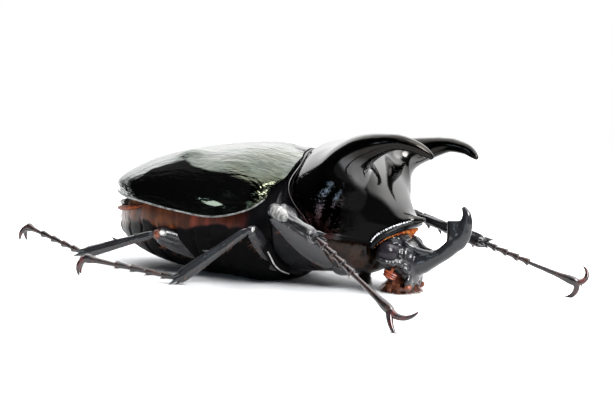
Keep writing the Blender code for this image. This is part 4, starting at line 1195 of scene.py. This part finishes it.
def make_thigh(leg, joints, half, finishes, hairs, rng):
    """A thigh: flattened, fullest in its middle, with a ridge and a row of short hairs."""
    hip, knee, ankle = joints[:3]
    thigh, shin = unit(knee - hip), unit(ankle - knee)
    root = hip + thigh * 1.2
    end = knee - unit(thigh + shin) * GAP / 2 - thigh * 0.2
    # Shares of the way along and of the half width
    t, w = smooth_path([(0, 0.3), (0.03, 0.56), (0.12, 0.8), (0.35, 1.0), (0.62, 0.98),
                        (0.85, 0.8), (0.96, 0.66), (1.0, 0.36)], 60).T

    def ridges(share, angle):
        """Flattened sides and a crease, both fading at the ends."""
        crease = 0.07 * np.cos(2 * angle) - 0.10 * hump(np.cos(angle), 0.1, 0.12)
        return crease * smooth_step(share * 5) * smooth_step((1 - share) * 5)

    shape = Shape()
    places = root + (end - root) * t[:, None]
    shape.rod(places, half * w, half * w * 0.72, sides=40, relief=ridges)
    shape.ball(knee - thigh * 0.5, (0.5 * half,) * 3, segments=18, slot=1)
    along, across, up = leg_axes(root, end)
    # The pale plate at the knee, a painted highlight
    facing = facing_way(KNEE_PLATE_WAY, hip)
    plate = end - along * (np.linspace(2.2, 0.1, 20)[:, None] * half / 3.2) + facing * 0.62 * half
    oval_plate(shape, plate, along, facing, 0.26 * half, 0.35, 2)
    roots, ways = [], []
    for _ in range(46):
        share = rng.uniform(0.12, 0.9)
        lean = rng.uniform(-0.5, 0.5)
        out = unit(-up + across * lean)
        roots.append(root + (end - root) * share + out * half * 0.8)
        ways.append(out + along * rng.uniform(0.3, 0.8))
    hairs.hairs(roots, ways, [rng.uniform(0.7, 1.5) for _ in roots], 0.045, (0, 0, -0.1), rng)
    piece(f"thigh_{leg}", shape, finishes, [f"leg_{leg}_femur"])


def make_shin(leg, pair, joints, sizes, finishes, hairs, rng):
    """A shin: ridged, widening to its end, with teeth, thorns and end spurs."""
    knee, ankle, bend = joints[1:4]
    near, far = sizes[1:]
    thigh, shin, foot = unit(knee - joints[0]), unit(ankle - knee), unit(bend - ankle)
    start = knee + unit(thigh + shin) * GAP / 2 + shin * 0.2
    finish = ankle - foot * GAP / 2
    stations = smooth_path([(0, 0.45), (0.04, 0.85), (0.1, 1.0), (0.35, 1.0), (0.7, 1.0),
                            (0.93, 1.0), (1.0, 0.7)], 70)
    t = stations[:, 0]
    width = (near + (far - near) * smooth_step((t - 0.05) / 0.9)) * stations[:, 1]
    along, across, up = leg_axes(start, finish)
    rough = 0.22 if pair == "front" else 0.07
    gnarl_seed = rng.uniform(0, 50)

    def facets(share, angle):
        """Long edges, and gnarls on the upper side."""
        edges = 0.05 * np.cos(3 * angle + 0.4) + 0.02 * np.cos(7 * angle)
        gnarls = wander(np.stack([share * 9 + 0 * angle, 1.3 * np.cos(angle) + 0 * share,
                                  1.3 * np.sin(angle) + 0 * share], -1), 1.0, gnarl_seed)
        gnarled = rough * gnarls * smooth_step(1.3 + np.cos(angle))
        return (edges + gnarled) * smooth_step(share * 8) * smooth_step((1 - share) * 8)

    shape = Shape()
    places = start + (finish - start) * t[:, None]
    shape.rod(places, width, width * 0.7, sides=42, relief=facets)
    if pair == "front":
        # The pale plate on the front shin, a painted highlight
        facing = facing_way(SHIN_PLATE_WAY, knee)
        plate = start + along * np.linspace(0.2, 10.0, 24)[:, None] + facing * 0.75
        oval_plate(shape, plate, along, facing, 1.25, 0.4, 1)
        # Teeth of the lower edge
        for share in (0.20, 0.34, 0.48, 0.66, 0.86):
            root = start + (finish - start) * share - up * far * 0.5
            shape.spine(root, root - up * 1.4 + along * 0.9, 0.5, along * 0.15, 12)
    # Small thorns along the upper edge
    for k in range(9):
        share = 0.12 + 0.09 * k + rng.uniform(-0.03, 0.03)
        reach = near + (far - near) * smooth_step((share - 0.05) / 0.9)
        root = start + (finish - start) * share + up * reach * 0.85
        size = rng.uniform(0.35, 0.7)
        root = root + across * rng.uniform(-0.6, 0.6)
        shape.spine(root, root + up * size * 0.5 + along * size, 0.24 * size + 0.08, sides=7)
    # A thorn in the middle of the upper edge
    if pair != "front":
        root = start + (finish - start) * 0.5 + up * far * 0.35
        shape.spine(root, root + up * 1.5 + along * 1.5, 0.5, sides=10)
    # End spurs
    for turn in (-1, 1):
        for lift, length in ((0.0, 2.3), (0.5, 1.5)):
            root = finish - along * 0.5 + across * far * 0.5 * turn + up * lift * far
            tip = root + along * length + across * 1.0 * turn + up * lift * 0.5
            shape.spine(root, tip, 0.52, along * 0.1, 10)
    shape.spine(finish - along * 0.6 - up * far * 0.3, finish + along * 1.5 - up * far * 0.5, 0.45)
    roots, ways = [], []
    for _ in range(60):
        share = rng.uniform(0.08, 0.98)
        lean = rng.uniform(-1.2, 1.2)
        out = unit(up * math.cos(lean + math.pi) + across * math.sin(lean))
        reach = near + (far - near) * share
        roots.append(start + (finish - start) * share + out * reach * 0.72)
        ways.append(out + along * rng.uniform(0.6, 1.4))
    hairs.hairs(roots, ways, [rng.uniform(0.6, 1.3) for _ in roots], 0.045, (0, 0, -0.05), rng)
    piece(f"shin_{leg}", shape, finishes, [f"leg_{leg}_tibia"])


def make_foot(leg, joints, radius, finishes, hairs, rng):
    """A foot of four short knotty joints and one long one, with two claws and bristles."""
    ankle, bend, claw_root = joints[2:5]
    foot = unit(bend - ankle)
    ankle = ankle + foot * GAP / 2
    shape = Shape()
    along, across, up = leg_axes(ankle, bend)
    # Shares of a short joint's length and of the foot's radius
    knot = smooth_path([(0.0, 0.4), (0.06, 0.7), (0.35, 0.85), (0.65, 1.05), (0.86, 1.3),
                        (0.96, 1.15), (1.02, 0.6)], 22)
    for k in range(4):
        first = ankle + (bend - ankle) * k / 4
        last = ankle + (bend - ankle) * (k + 1) / 4
        places = first + (last - first) * knot[:, :1]
        places = places + up * (0.12 * np.sin(knot[:, :1] * math.pi))
        shape.rod(places, radius * knot[:, 1], radius * knot[:, 1] * 0.9, sides=20)
        end = first + (last - first) * 0.88
        for turn in (-1, 1):
            root = end + across * radius * 0.7 * turn - up * radius * 0.6
            shape.spine(root, root + along * 0.4 + across * 0.2 * turn - up * 0.25, 0.1, sides=6)
        roots = [end + (across * rng.uniform(-1, 1) - up * rng.uniform(0.2, 1)) * radius
                 for _ in range(9)]
        ways = [along + across * rng.uniform(-0.7, 0.7) - up * rng.uniform(0.2, 0.9)
                for _ in roots]
        hairs.hairs(roots, ways, [rng.uniform(0.5, 1.1) for _ in roots], 0.04, (0, 0, -0.1), rng)
    slender = smooth_path([(0.0, 0.4), (0.04, 0.66), (0.3, 0.78), (0.6, 1.0), (0.82, 1.5),
                           (0.95, 1.45), (1.02, 0.8)], 36)
    places = bend + (claw_root - bend) * slender[:, :1]
    shape.rod(places, radius * slender[:, 1], radius * slender[:, 1] * 0.9, sides=20)
    back = unit(claw_root - bend)
    for ahead, curl, length, turn in CLAWS[leg]:
        hook = claw_path(claw_root - back * 0.5, ahead, curl, length, turn)
        taper = np.linspace(0, 1, len(hook))
        radii = CLAW_RADIUS * (1 - taper) ** 0.58 + 0.03
        shape.tube(hook, radii, sides=14, slot=1)
    shape.spine(claw_root, claw_root + back * 1.6 - np.array([0, 0, 0.5]), 0.18, sides=6)
    piece(f"foot_{leg}", shape, finishes, [f"leg_{leg}_tarsus"])


# Fringes and tufts

def make_fringes(finishes, rng, count):
    """The orange fringe under the shield's front rim and the bristles of mouth and throat."""
    lower = shield_grids(40, SHIELD_COLUMNS)[1]
    rim = smooth_path(lower[-1, RIM_COLUMNS], 400)
    orange, brown, black = finishes

    def fringe():
        k = rng.randrange(34, len(rim) - 34)
        y = rim[k][1]
        side = 0.35 * np.sign(y) * min(abs(y) / 8, 1)
        root = rim[k] + (rng.uniform(-0.6, 0.1), rng.uniform(-0.3, 0.3), -0.3)
        way = (0.15 + rng.uniform(-0.3, 0.3), side + rng.uniform(-0.25, 0.25), -1)
        tuft = 0.4 * hump(y, 0, 3.0) + hump(y, 0, 1.2)
        return root, way, rng.uniform(0.25, 0.5) + rng.uniform(0.5, 1.2) * tuft

    def mouth():
        a = rng.uniform(0, 2 * math.pi)
        out = np.array([math.cos(a), math.sin(a), -0.4])
        root = np.array([21.6, 0.0, rng.uniform(0.9, 2.6)]) + out * (2.4, 3.1, 0.6)
        way = out + (0.4, 0, rng.uniform(-0.9, 0.1))
        return root, way, rng.uniform(0.3, 1.0) ** 2 * 3.2

    def throat():
        t = rng.uniform(0, 1)
        a = rng.uniform(0, 2 * math.pi)
        out = np.array([math.cos(a), math.sin(a), 0.0])
        root = np.array([13.0 + 0.9 * t, 0, 4.2 - 3.2 * t]) + out * (0.9 - 0.6 * t)
        return root, out + (0.2, 0, -1.1), rng.uniform(0.8, 1.7)

    for name, grow, number, radius, droop, finish, slot in (
        ("shield_fringe", fringe, count, 0.045, (0.1, 0, -0.1), orange, "feeler_orange"),
        ("mouth_bristles", mouth, count, 0.09, (0, 0, -0.1), brown, "mouth_brown"),
        ("throat_bristles", throat, count // 2, 0.11, (0, 0, -0.1), black, "shell_black"),
    ):
        shape = Shape()
        roots, ways, lengths = zip(*(grow() for _ in range(number)))
        shape.hairs(roots, ways, lengths, radius, droop, rng)
        shape.above(HAIR_FLOOR)
        coat(name, shape, finish)


# Stage

def direction(turn, lift):
    """The way at a turn from the head and a lift from the floor, both in degrees."""
    turn, lift = math.radians(turn), math.radians(lift)
    return math.cos(turn) * math.cos(lift), math.sin(turn) * math.cos(lift), math.sin(lift)


def camera_axes():
    """The camera's right, up and forward directions."""
    turn, pitch, roll = (math.radians(v) for v in (CAMERA_TURN, CAMERA_PITCH, CAMERA_ROLL))
    right = Vector((math.cos(turn), math.sin(turn), 0))
    level = Vector((-math.sin(turn), math.cos(turn), 0))
    forward = level * math.cos(pitch) - Vector((0, 0, math.sin(pitch)))
    up = level * math.sin(pitch) + Vector((0, 0, math.cos(pitch)))
    tilted = right * math.cos(roll) + up * math.sin(roll)
    return tilted, -right * math.sin(roll) + up * math.cos(roll), forward


def make_camera():
    """The camera where the photo was taken from, with all of the beetle in focus."""
    data = bpy.data.cameras.new("camera")
    data.lens = CAMERA_LENS
    data.sensor_width = 36.0
    data.clip_start = 0.01
    data.clip_end = 20.0
    camera = bpy.data.objects.new("camera", data)
    bpy.context.scene.collection.objects.link(camera)
    right, up, forward = camera_axes()
    turn = Matrix((right, up, -forward)).transposed().to_4x4()
    place = (Vector(CAMERA_PLACE) + Vector((WAIST_X, 0, 0))) * MM
    camera.matrix_world = Matrix.Translation(place) @ turn
    bpy.context.scene.camera = camera


def soft_light(name, place, aim, size, strength, colour):
    """A flat rectangular light at a place in metres, turned to its aim."""
    data = bpy.data.lights.new(name, "AREA")
    data.shape = "RECTANGLE"
    data.size, data.size_y = size
    data.energy = strength * size[0] * size[1] * math.pi
    data.color = colour
    light = bpy.data.objects.new(name, data)
    bpy.context.scene.collection.objects.link(light)
    place = Vector(place)
    turn = (Vector(aim) - place).normalized().to_track_quat("-Z", "Y").to_matrix().to_4x4()
    light.matrix_world = Matrix.Translation(place) @ turn


def make_room(studio):
    """White all round to the eye; the shell mirrors a bright room with dark parts."""
    world = bpy.data.worlds.new("studio")
    world.use_nodes = True
    nodes = Nodes(world.node_tree)
    way = nodes.add("ShaderNodeTexCoord", {})

    def within(turn, lift, reach, softness, start, end):
        """A value that goes from start outside a cone of directions to end inside it."""
        facing = nodes.add("ShaderNodeVectorMath", {"operation": "DOT_PRODUCT"}, way,
                           direction(turn, lift), output=1)
        return facing.between(math.cos(math.radians(reach + softness)),
                              math.cos(math.radians(reach - softness)), start, end)

    height = nodes.add("ShaderNodeSeparateXYZ", {}, way, output=2)
    strength = height.between(0.0, 0.8, studio.wall, studio.overhead)
    for *cone, left in DARK_PARTS:
        strength = within(*cone, 1.0, left) * strength
    for *cone, bright in SOFTBOXES:
        strength = within(*cone, 0.0, bright) + strength
    white = (1.0, 1.0, 1.0, 1.0)
    room = nodes.add("ShaderNodeBackground", {}, white, strength)
    plain = nodes.add("ShaderNodeBackground", {}, white, 1.0)
    seen = nodes.add("ShaderNodeLightPath", {})
    nodes.close("ShaderNodeOutputWorld", nodes.add("ShaderNodeMixShader", {}, seen, room, plain))
    bpy.context.scene.world = world


def make_floor():
    """A round floor for the stage."""
    bm = bmesh.new()
    bmesh.ops.create_circle(bm, cap_ends=True, segments=96, radius=FLOOR_RADIUS)
    mesh = bpy.data.meshes.new("floor")
    bm.to_mesh(mesh)
    bm.free()
    floor = bpy.data.objects.new("floor", mesh)
    bpy.context.scene.collection.objects.link(floor)
    floor.location.z = -FLOOR_DROP
    mesh.materials.append(floor_finish())


# Properties, operators and panel

def length_property(name, description, millimetres):
    return FloatProperty(name=name, description=description, default=millimetres * MM,
                         min=0.0, subtype="DISTANCE", unit="LENGTH", precision=5)


def colour_property(name, description, colour):
    return FloatVectorProperty(name=name, description=description, default=colour, size=3,
                               min=0.0, max=1.0, subtype="COLOR")


class BeetleSizes(bpy.types.PropertyGroup):
    wing_case_thickness: length_property(
        "Wing case thickness", "Thickness of the wing cases' shell", 0.5)
    skin_voxel: length_property("Skin fineness", "Grain of the melted shield skin", 0.3)
    foot_radius: length_property("Foot radius", "Half the thickness of the foot's joints", 0.62)
    fringe_count: IntProperty(
        name="Fringe hairs", description="Hairs in each fringe", default=700, min=10, max=4000)


class BeetleLook(bpy.types.PropertyGroup):
    shell_colour: colour_property("Shell", "Black of the shield and head",
                                  (0.006, 0.006, 0.007))
    shell_mirror: colour_property("Shield mirror", "Strength of the shield's reflections",
                                  (0.046, 0.046, 0.047))
    # Painted darker reflection low on the flanks
    flank_painted_dark_reflection: colour_property("Shield mirror, low", "The same low on the flanks",
                                      (0.024, 0.024, 0.025))
    shell_mirror_warm: colour_property("Shield mirror, warm", "Red-brown patches of the flanks",
                                       (0.022, 0.009, 0.008))
    # Painted brighter reflection on the face, and darker low on it
    painted_face_reflection: colour_property("Face mirror", "The same on the face between the horns",
                                 (0.062, 0.061, 0.060))
    painted_face_reflection_low: colour_property("Face mirror, low", "The same low on the face",
                                     (0.024, 0.023, 0.022))
    horn_mirror: colour_property("Horn mirror", "The same on the long horns",
                                 (0.013, 0.012, 0.011))
    leg_colour: colour_property("Legs", "Satin black of the legs", (0.016, 0.016, 0.018))
    wing_colour: colour_property("Wing cases", "Green-black of the wing cases",
                                 (0.050, 0.058, 0.052))
    wing_colour_warm: colour_property("Wing cases, warm", "Olive cast of the wing cases",
                                      (0.052, 0.057, 0.037))
    # Painted shade in the furrows of the wing cases
    wing_furrow_painted_shade: colour_property("Wing cases, dark", "Furrows of the wing cases",
                                      (0.012, 0.014, 0.013))
    # Painted mint highlight above the margin of the wing cases
    wing_painted_gleam: colour_property("Wing cases, flare", "Mint gleam above their margin",
                                       (0.17, 0.21, 0.17))
    belly_colour: colour_property("Belly", "Red-brown of the flanks", (0.035, 0.009, 0.003))
    belly_colour_light: colour_property("Belly, light", "Lighter patches of the flanks",
                                        (0.13, 0.038, 0.012))
    belly_colour_red: colour_property("Belly, red", "Red patches under the shoulders",
                                      (0.17, 0.030, 0.020))
    # Painted pale reflections at the tail
    tail_painted_reflection: colour_property("Tail", "Pale streaks of the tail", (0.36, 0.30, 0.27))
    eye_colour: colour_property("Eyes", "Dark violet grey of the eyes", (0.004, 0.0035, 0.005))
    eye_colour_light: colour_property("Eyes, light", "Veil over the eyes",
                                      (0.014, 0.0115, 0.0155))
    fringe_colour: colour_property("Fringe", "Orange of the shield's fringe",
                                   (0.36, 0.055, 0.015))
    fringe_colour_light: colour_property("Fringe, light", "Light hairs of the fringe",
                                         (0.8, 0.3, 0.05))
    hair_colour: colour_property("Hairs", "Brown of the leg hairs", (0.03, 0.011, 0.005))
    hair_colour_light: colour_property("Hairs, light", "Light leg hairs", (0.10, 0.03, 0.01))


class BeetleStudio(bpy.types.PropertyGroup):
    overhead: FloatProperty(name="Overhead", description="Brightness of the ceiling",
                            default=5.0, min=0.0)
    wall: FloatProperty(name="Wall", description="Brightness of the wall at floor level",
                        default=1.2, min=0.0)
    window: FloatProperty(name="Window", description="Brightness of the small side windows",
                          default=1.0, min=0.0)


class BeetleOperator(bpy.types.Operator):
    """What the operators share."""

    bl_options = {"REGISTER", "UNDO"}

    @property
    def sizes(self):
        return bpy.context.scene.beetle_sizes

    @property
    def look(self):
        return bpy.context.scene.beetle_look

    def horny(self, name):
        return horny_finish(name, *HORNY[name])

    def black_legs(self):
        return bpy.data.materials.get("leg_black") or armour_finish(self.look)


class BEETLE_OT_wing_cases(BeetleOperator):
    """Build the wing cases and the small plate between their bases"""

    bl_idname = "beetle.wing_cases"
    bl_label = "Wing cases"

    def execute(self, context):
        finish = wing_case_finish(self.look)
        edge = self.horny("wing_edge")
        for name, side in SIDES:
            make_wing_case(f"wing_case_{name}", side, self.sizes, finish, edge)
        make_scutellum(self.black_legs())
        return {"FINISHED"}


class BEETLE_OT_shield(BeetleOperator):
    """Build the front shield with its three horns and its rims"""

    bl_idname = "beetle.shield"
    bl_label = "Shield and horns"

    def execute(self, context):
        # The rim beads' pale finish is a painted highlight
        make_shield(self.sizes, shield_finish(self.look), self.horny("rim_black"),
                    self.horny("rim_bead_painted_highlight"))
        return {"FINISHED"}


class BEETLE_OT_head(BeetleOperator):
    """Build the head, its horn, the eyes, the feelers and the mouth"""

    bl_idname = "beetle.head"
    bl_label = "Head"

    def execute(self, context):
        look = self.look
        make_head(self.sizes, armour_finish(look, "head_black", 0.18, 0.07, 0.34))
        make_eyes(eye_finish(look))
        brown = self.horny("mouth_brown")
        make_feelers(self.horny("feeler_orange"), brown)
        make_mouth(brown, self.black_legs())
        return {"FINISHED"}


class BEETLE_OT_trunk(BeetleOperator):
    """Build the chest, the hind body and the tail plate"""

    bl_idname = "beetle.trunk"
    bl_label = "Trunk"

    def execute(self, context):
        belly = belly_finish(self.look)
        make_abdomen(belly)
        make_tail_plate([belly, self.horny("tail_orange"), self.horny("tail_grey")])
        # The plate edge's pale finish is a painted highlight
        make_chest(armour_finish(self.look, "chest_black", 0.24, 0.12, 0.05), belly,
                   self.horny("chest_brown"), self.horny("plate_edge_painted_highlight"))
        return {"FINISHED"}


class BEETLE_OT_legs(BeetleOperator):
    """Build the six legs with their thorns, hairs and claws"""

    bl_idname = "beetle.legs"
    bl_label = "Legs"

    def execute(self, context):
        black = self.black_legs()
        hair = horny_finish("hair", self.look.hair_colour, self.look.hair_colour_light, 0.5)
        # The pale finish of the knee and shin plates is a painted highlight
        red, plate, foot, claw = (
            self.horny(name) for name in ("joint_red", "knee_painted_highlight", "foot_brown", "claw_brown"))
        rng = random.Random(SEED)
        for leg, places in LEGS.items():
            pair = leg.split("_")[0]
            joints = [np.array(p) for p in places]
            make_coxa(leg, joints, black)
            hairs = Shape()
            joint = red if pair == "hind" else black
            make_thigh(leg, joints, LEG_SIZES[pair][0], [black, joint, plate], hairs, rng)
            make_shin(leg, pair, joints, LEG_SIZES[pair], [black, plate], hairs, rng)
            make_foot(leg, joints, self.sizes.foot_radius / MM, [foot, claw], hairs, rng)
            hairs.above(HAIR_FLOOR)
            coat(f"leg_hairs_{leg}", hairs, hair)
        return {"FINISHED"}


class BEETLE_OT_fringes(BeetleOperator):
    """Build the fringe of the shield and the bristles of mouth and throat"""

    bl_idname = "beetle.fringes"
    bl_label = "Fringes"

    def execute(self, context):
        look = self.look
        orange = horny_finish("fringe_orange", look.fringe_colour, look.fringe_colour_light, 0.45)
        finishes = [orange, self.horny("bristle_brown"), self.horny("bristle_black")]
        make_fringes(finishes, random.Random(SEED + 1), self.sizes.fringe_count)
        return {"FINISHED"}


class BEETLE_OT_stage(BeetleOperator):
    """Set the floor, the room, the lights and the camera"""

    bl_idname = "beetle.stage"
    bl_label = "Studio"

    def execute(self, context):
        studio = context.scene.beetle_studio
        make_floor()
        make_room(studio)
        for k, (place, turn, lift, share) in enumerate(WINDOWS):
            aim = (np.array(place) + (WAIST_X, 0, 0)) * MM
            place = aim + WINDOW_REACH * np.array(direction(turn, lift))
            soft_light(f"window_{k}", place, aim, WINDOW_SIZE, studio.window * share, WINDOW_COLOUR)
        make_camera()
        context.scene.view_settings.view_transform = "Standard"
        return {"FINISHED"}


class BEETLE_PT_panel(bpy.types.Panel):
    """Sizes, colours and builders of the beetle"""

    bl_idname = "BEETLE_PT_panel"
    bl_label = "Beetle"
    bl_space_type = "VIEW_3D"
    bl_region_type = "UI"
    bl_category = "Beetle"

    def draw(self, context):
        for group in (context.scene.beetle_sizes, context.scene.beetle_look,
                      context.scene.beetle_studio):
            for key in group.__annotations__:
                self.layout.prop(group, key)
        for operator in OPERATORS:
            self.layout.operator(operator.bl_idname)


OPERATORS = (BEETLE_OT_wing_cases, BEETLE_OT_shield, BEETLE_OT_head, BEETLE_OT_trunk,
             BEETLE_OT_legs, BEETLE_OT_fringes, BEETLE_OT_stage)
GROUPS = (("beetle_sizes", BeetleSizes), ("beetle_look", BeetleLook),
          ("beetle_studio", BeetleStudio))


def register():
    for name, group in GROUPS:
        bpy.utils.register_class(group)
        setattr(bpy.types.Scene, name, PointerProperty(type=group))
    for made in (*OPERATORS, BEETLE_PT_panel):
        bpy.utils.register_class(made)


def unregister():
    for made in reversed((*OPERATORS, BEETLE_PT_panel)):
        bpy.utils.unregister_class(made)
    for name, group in reversed(GROUPS):
        delattr(bpy.types.Scene, name)
        bpy.utils.unregister_class(group)


def main():
    register()
    bpy.ops.beetle.wing_cases()
    bpy.ops.beetle.shield()
    bpy.ops.beetle.head()
    bpy.ops.beetle.trunk()
    bpy.ops.beetle.legs()
    bpy.ops.beetle.fringes()
    bpy.ops.beetle.stage()


if __name__ == "__main__":
    main()
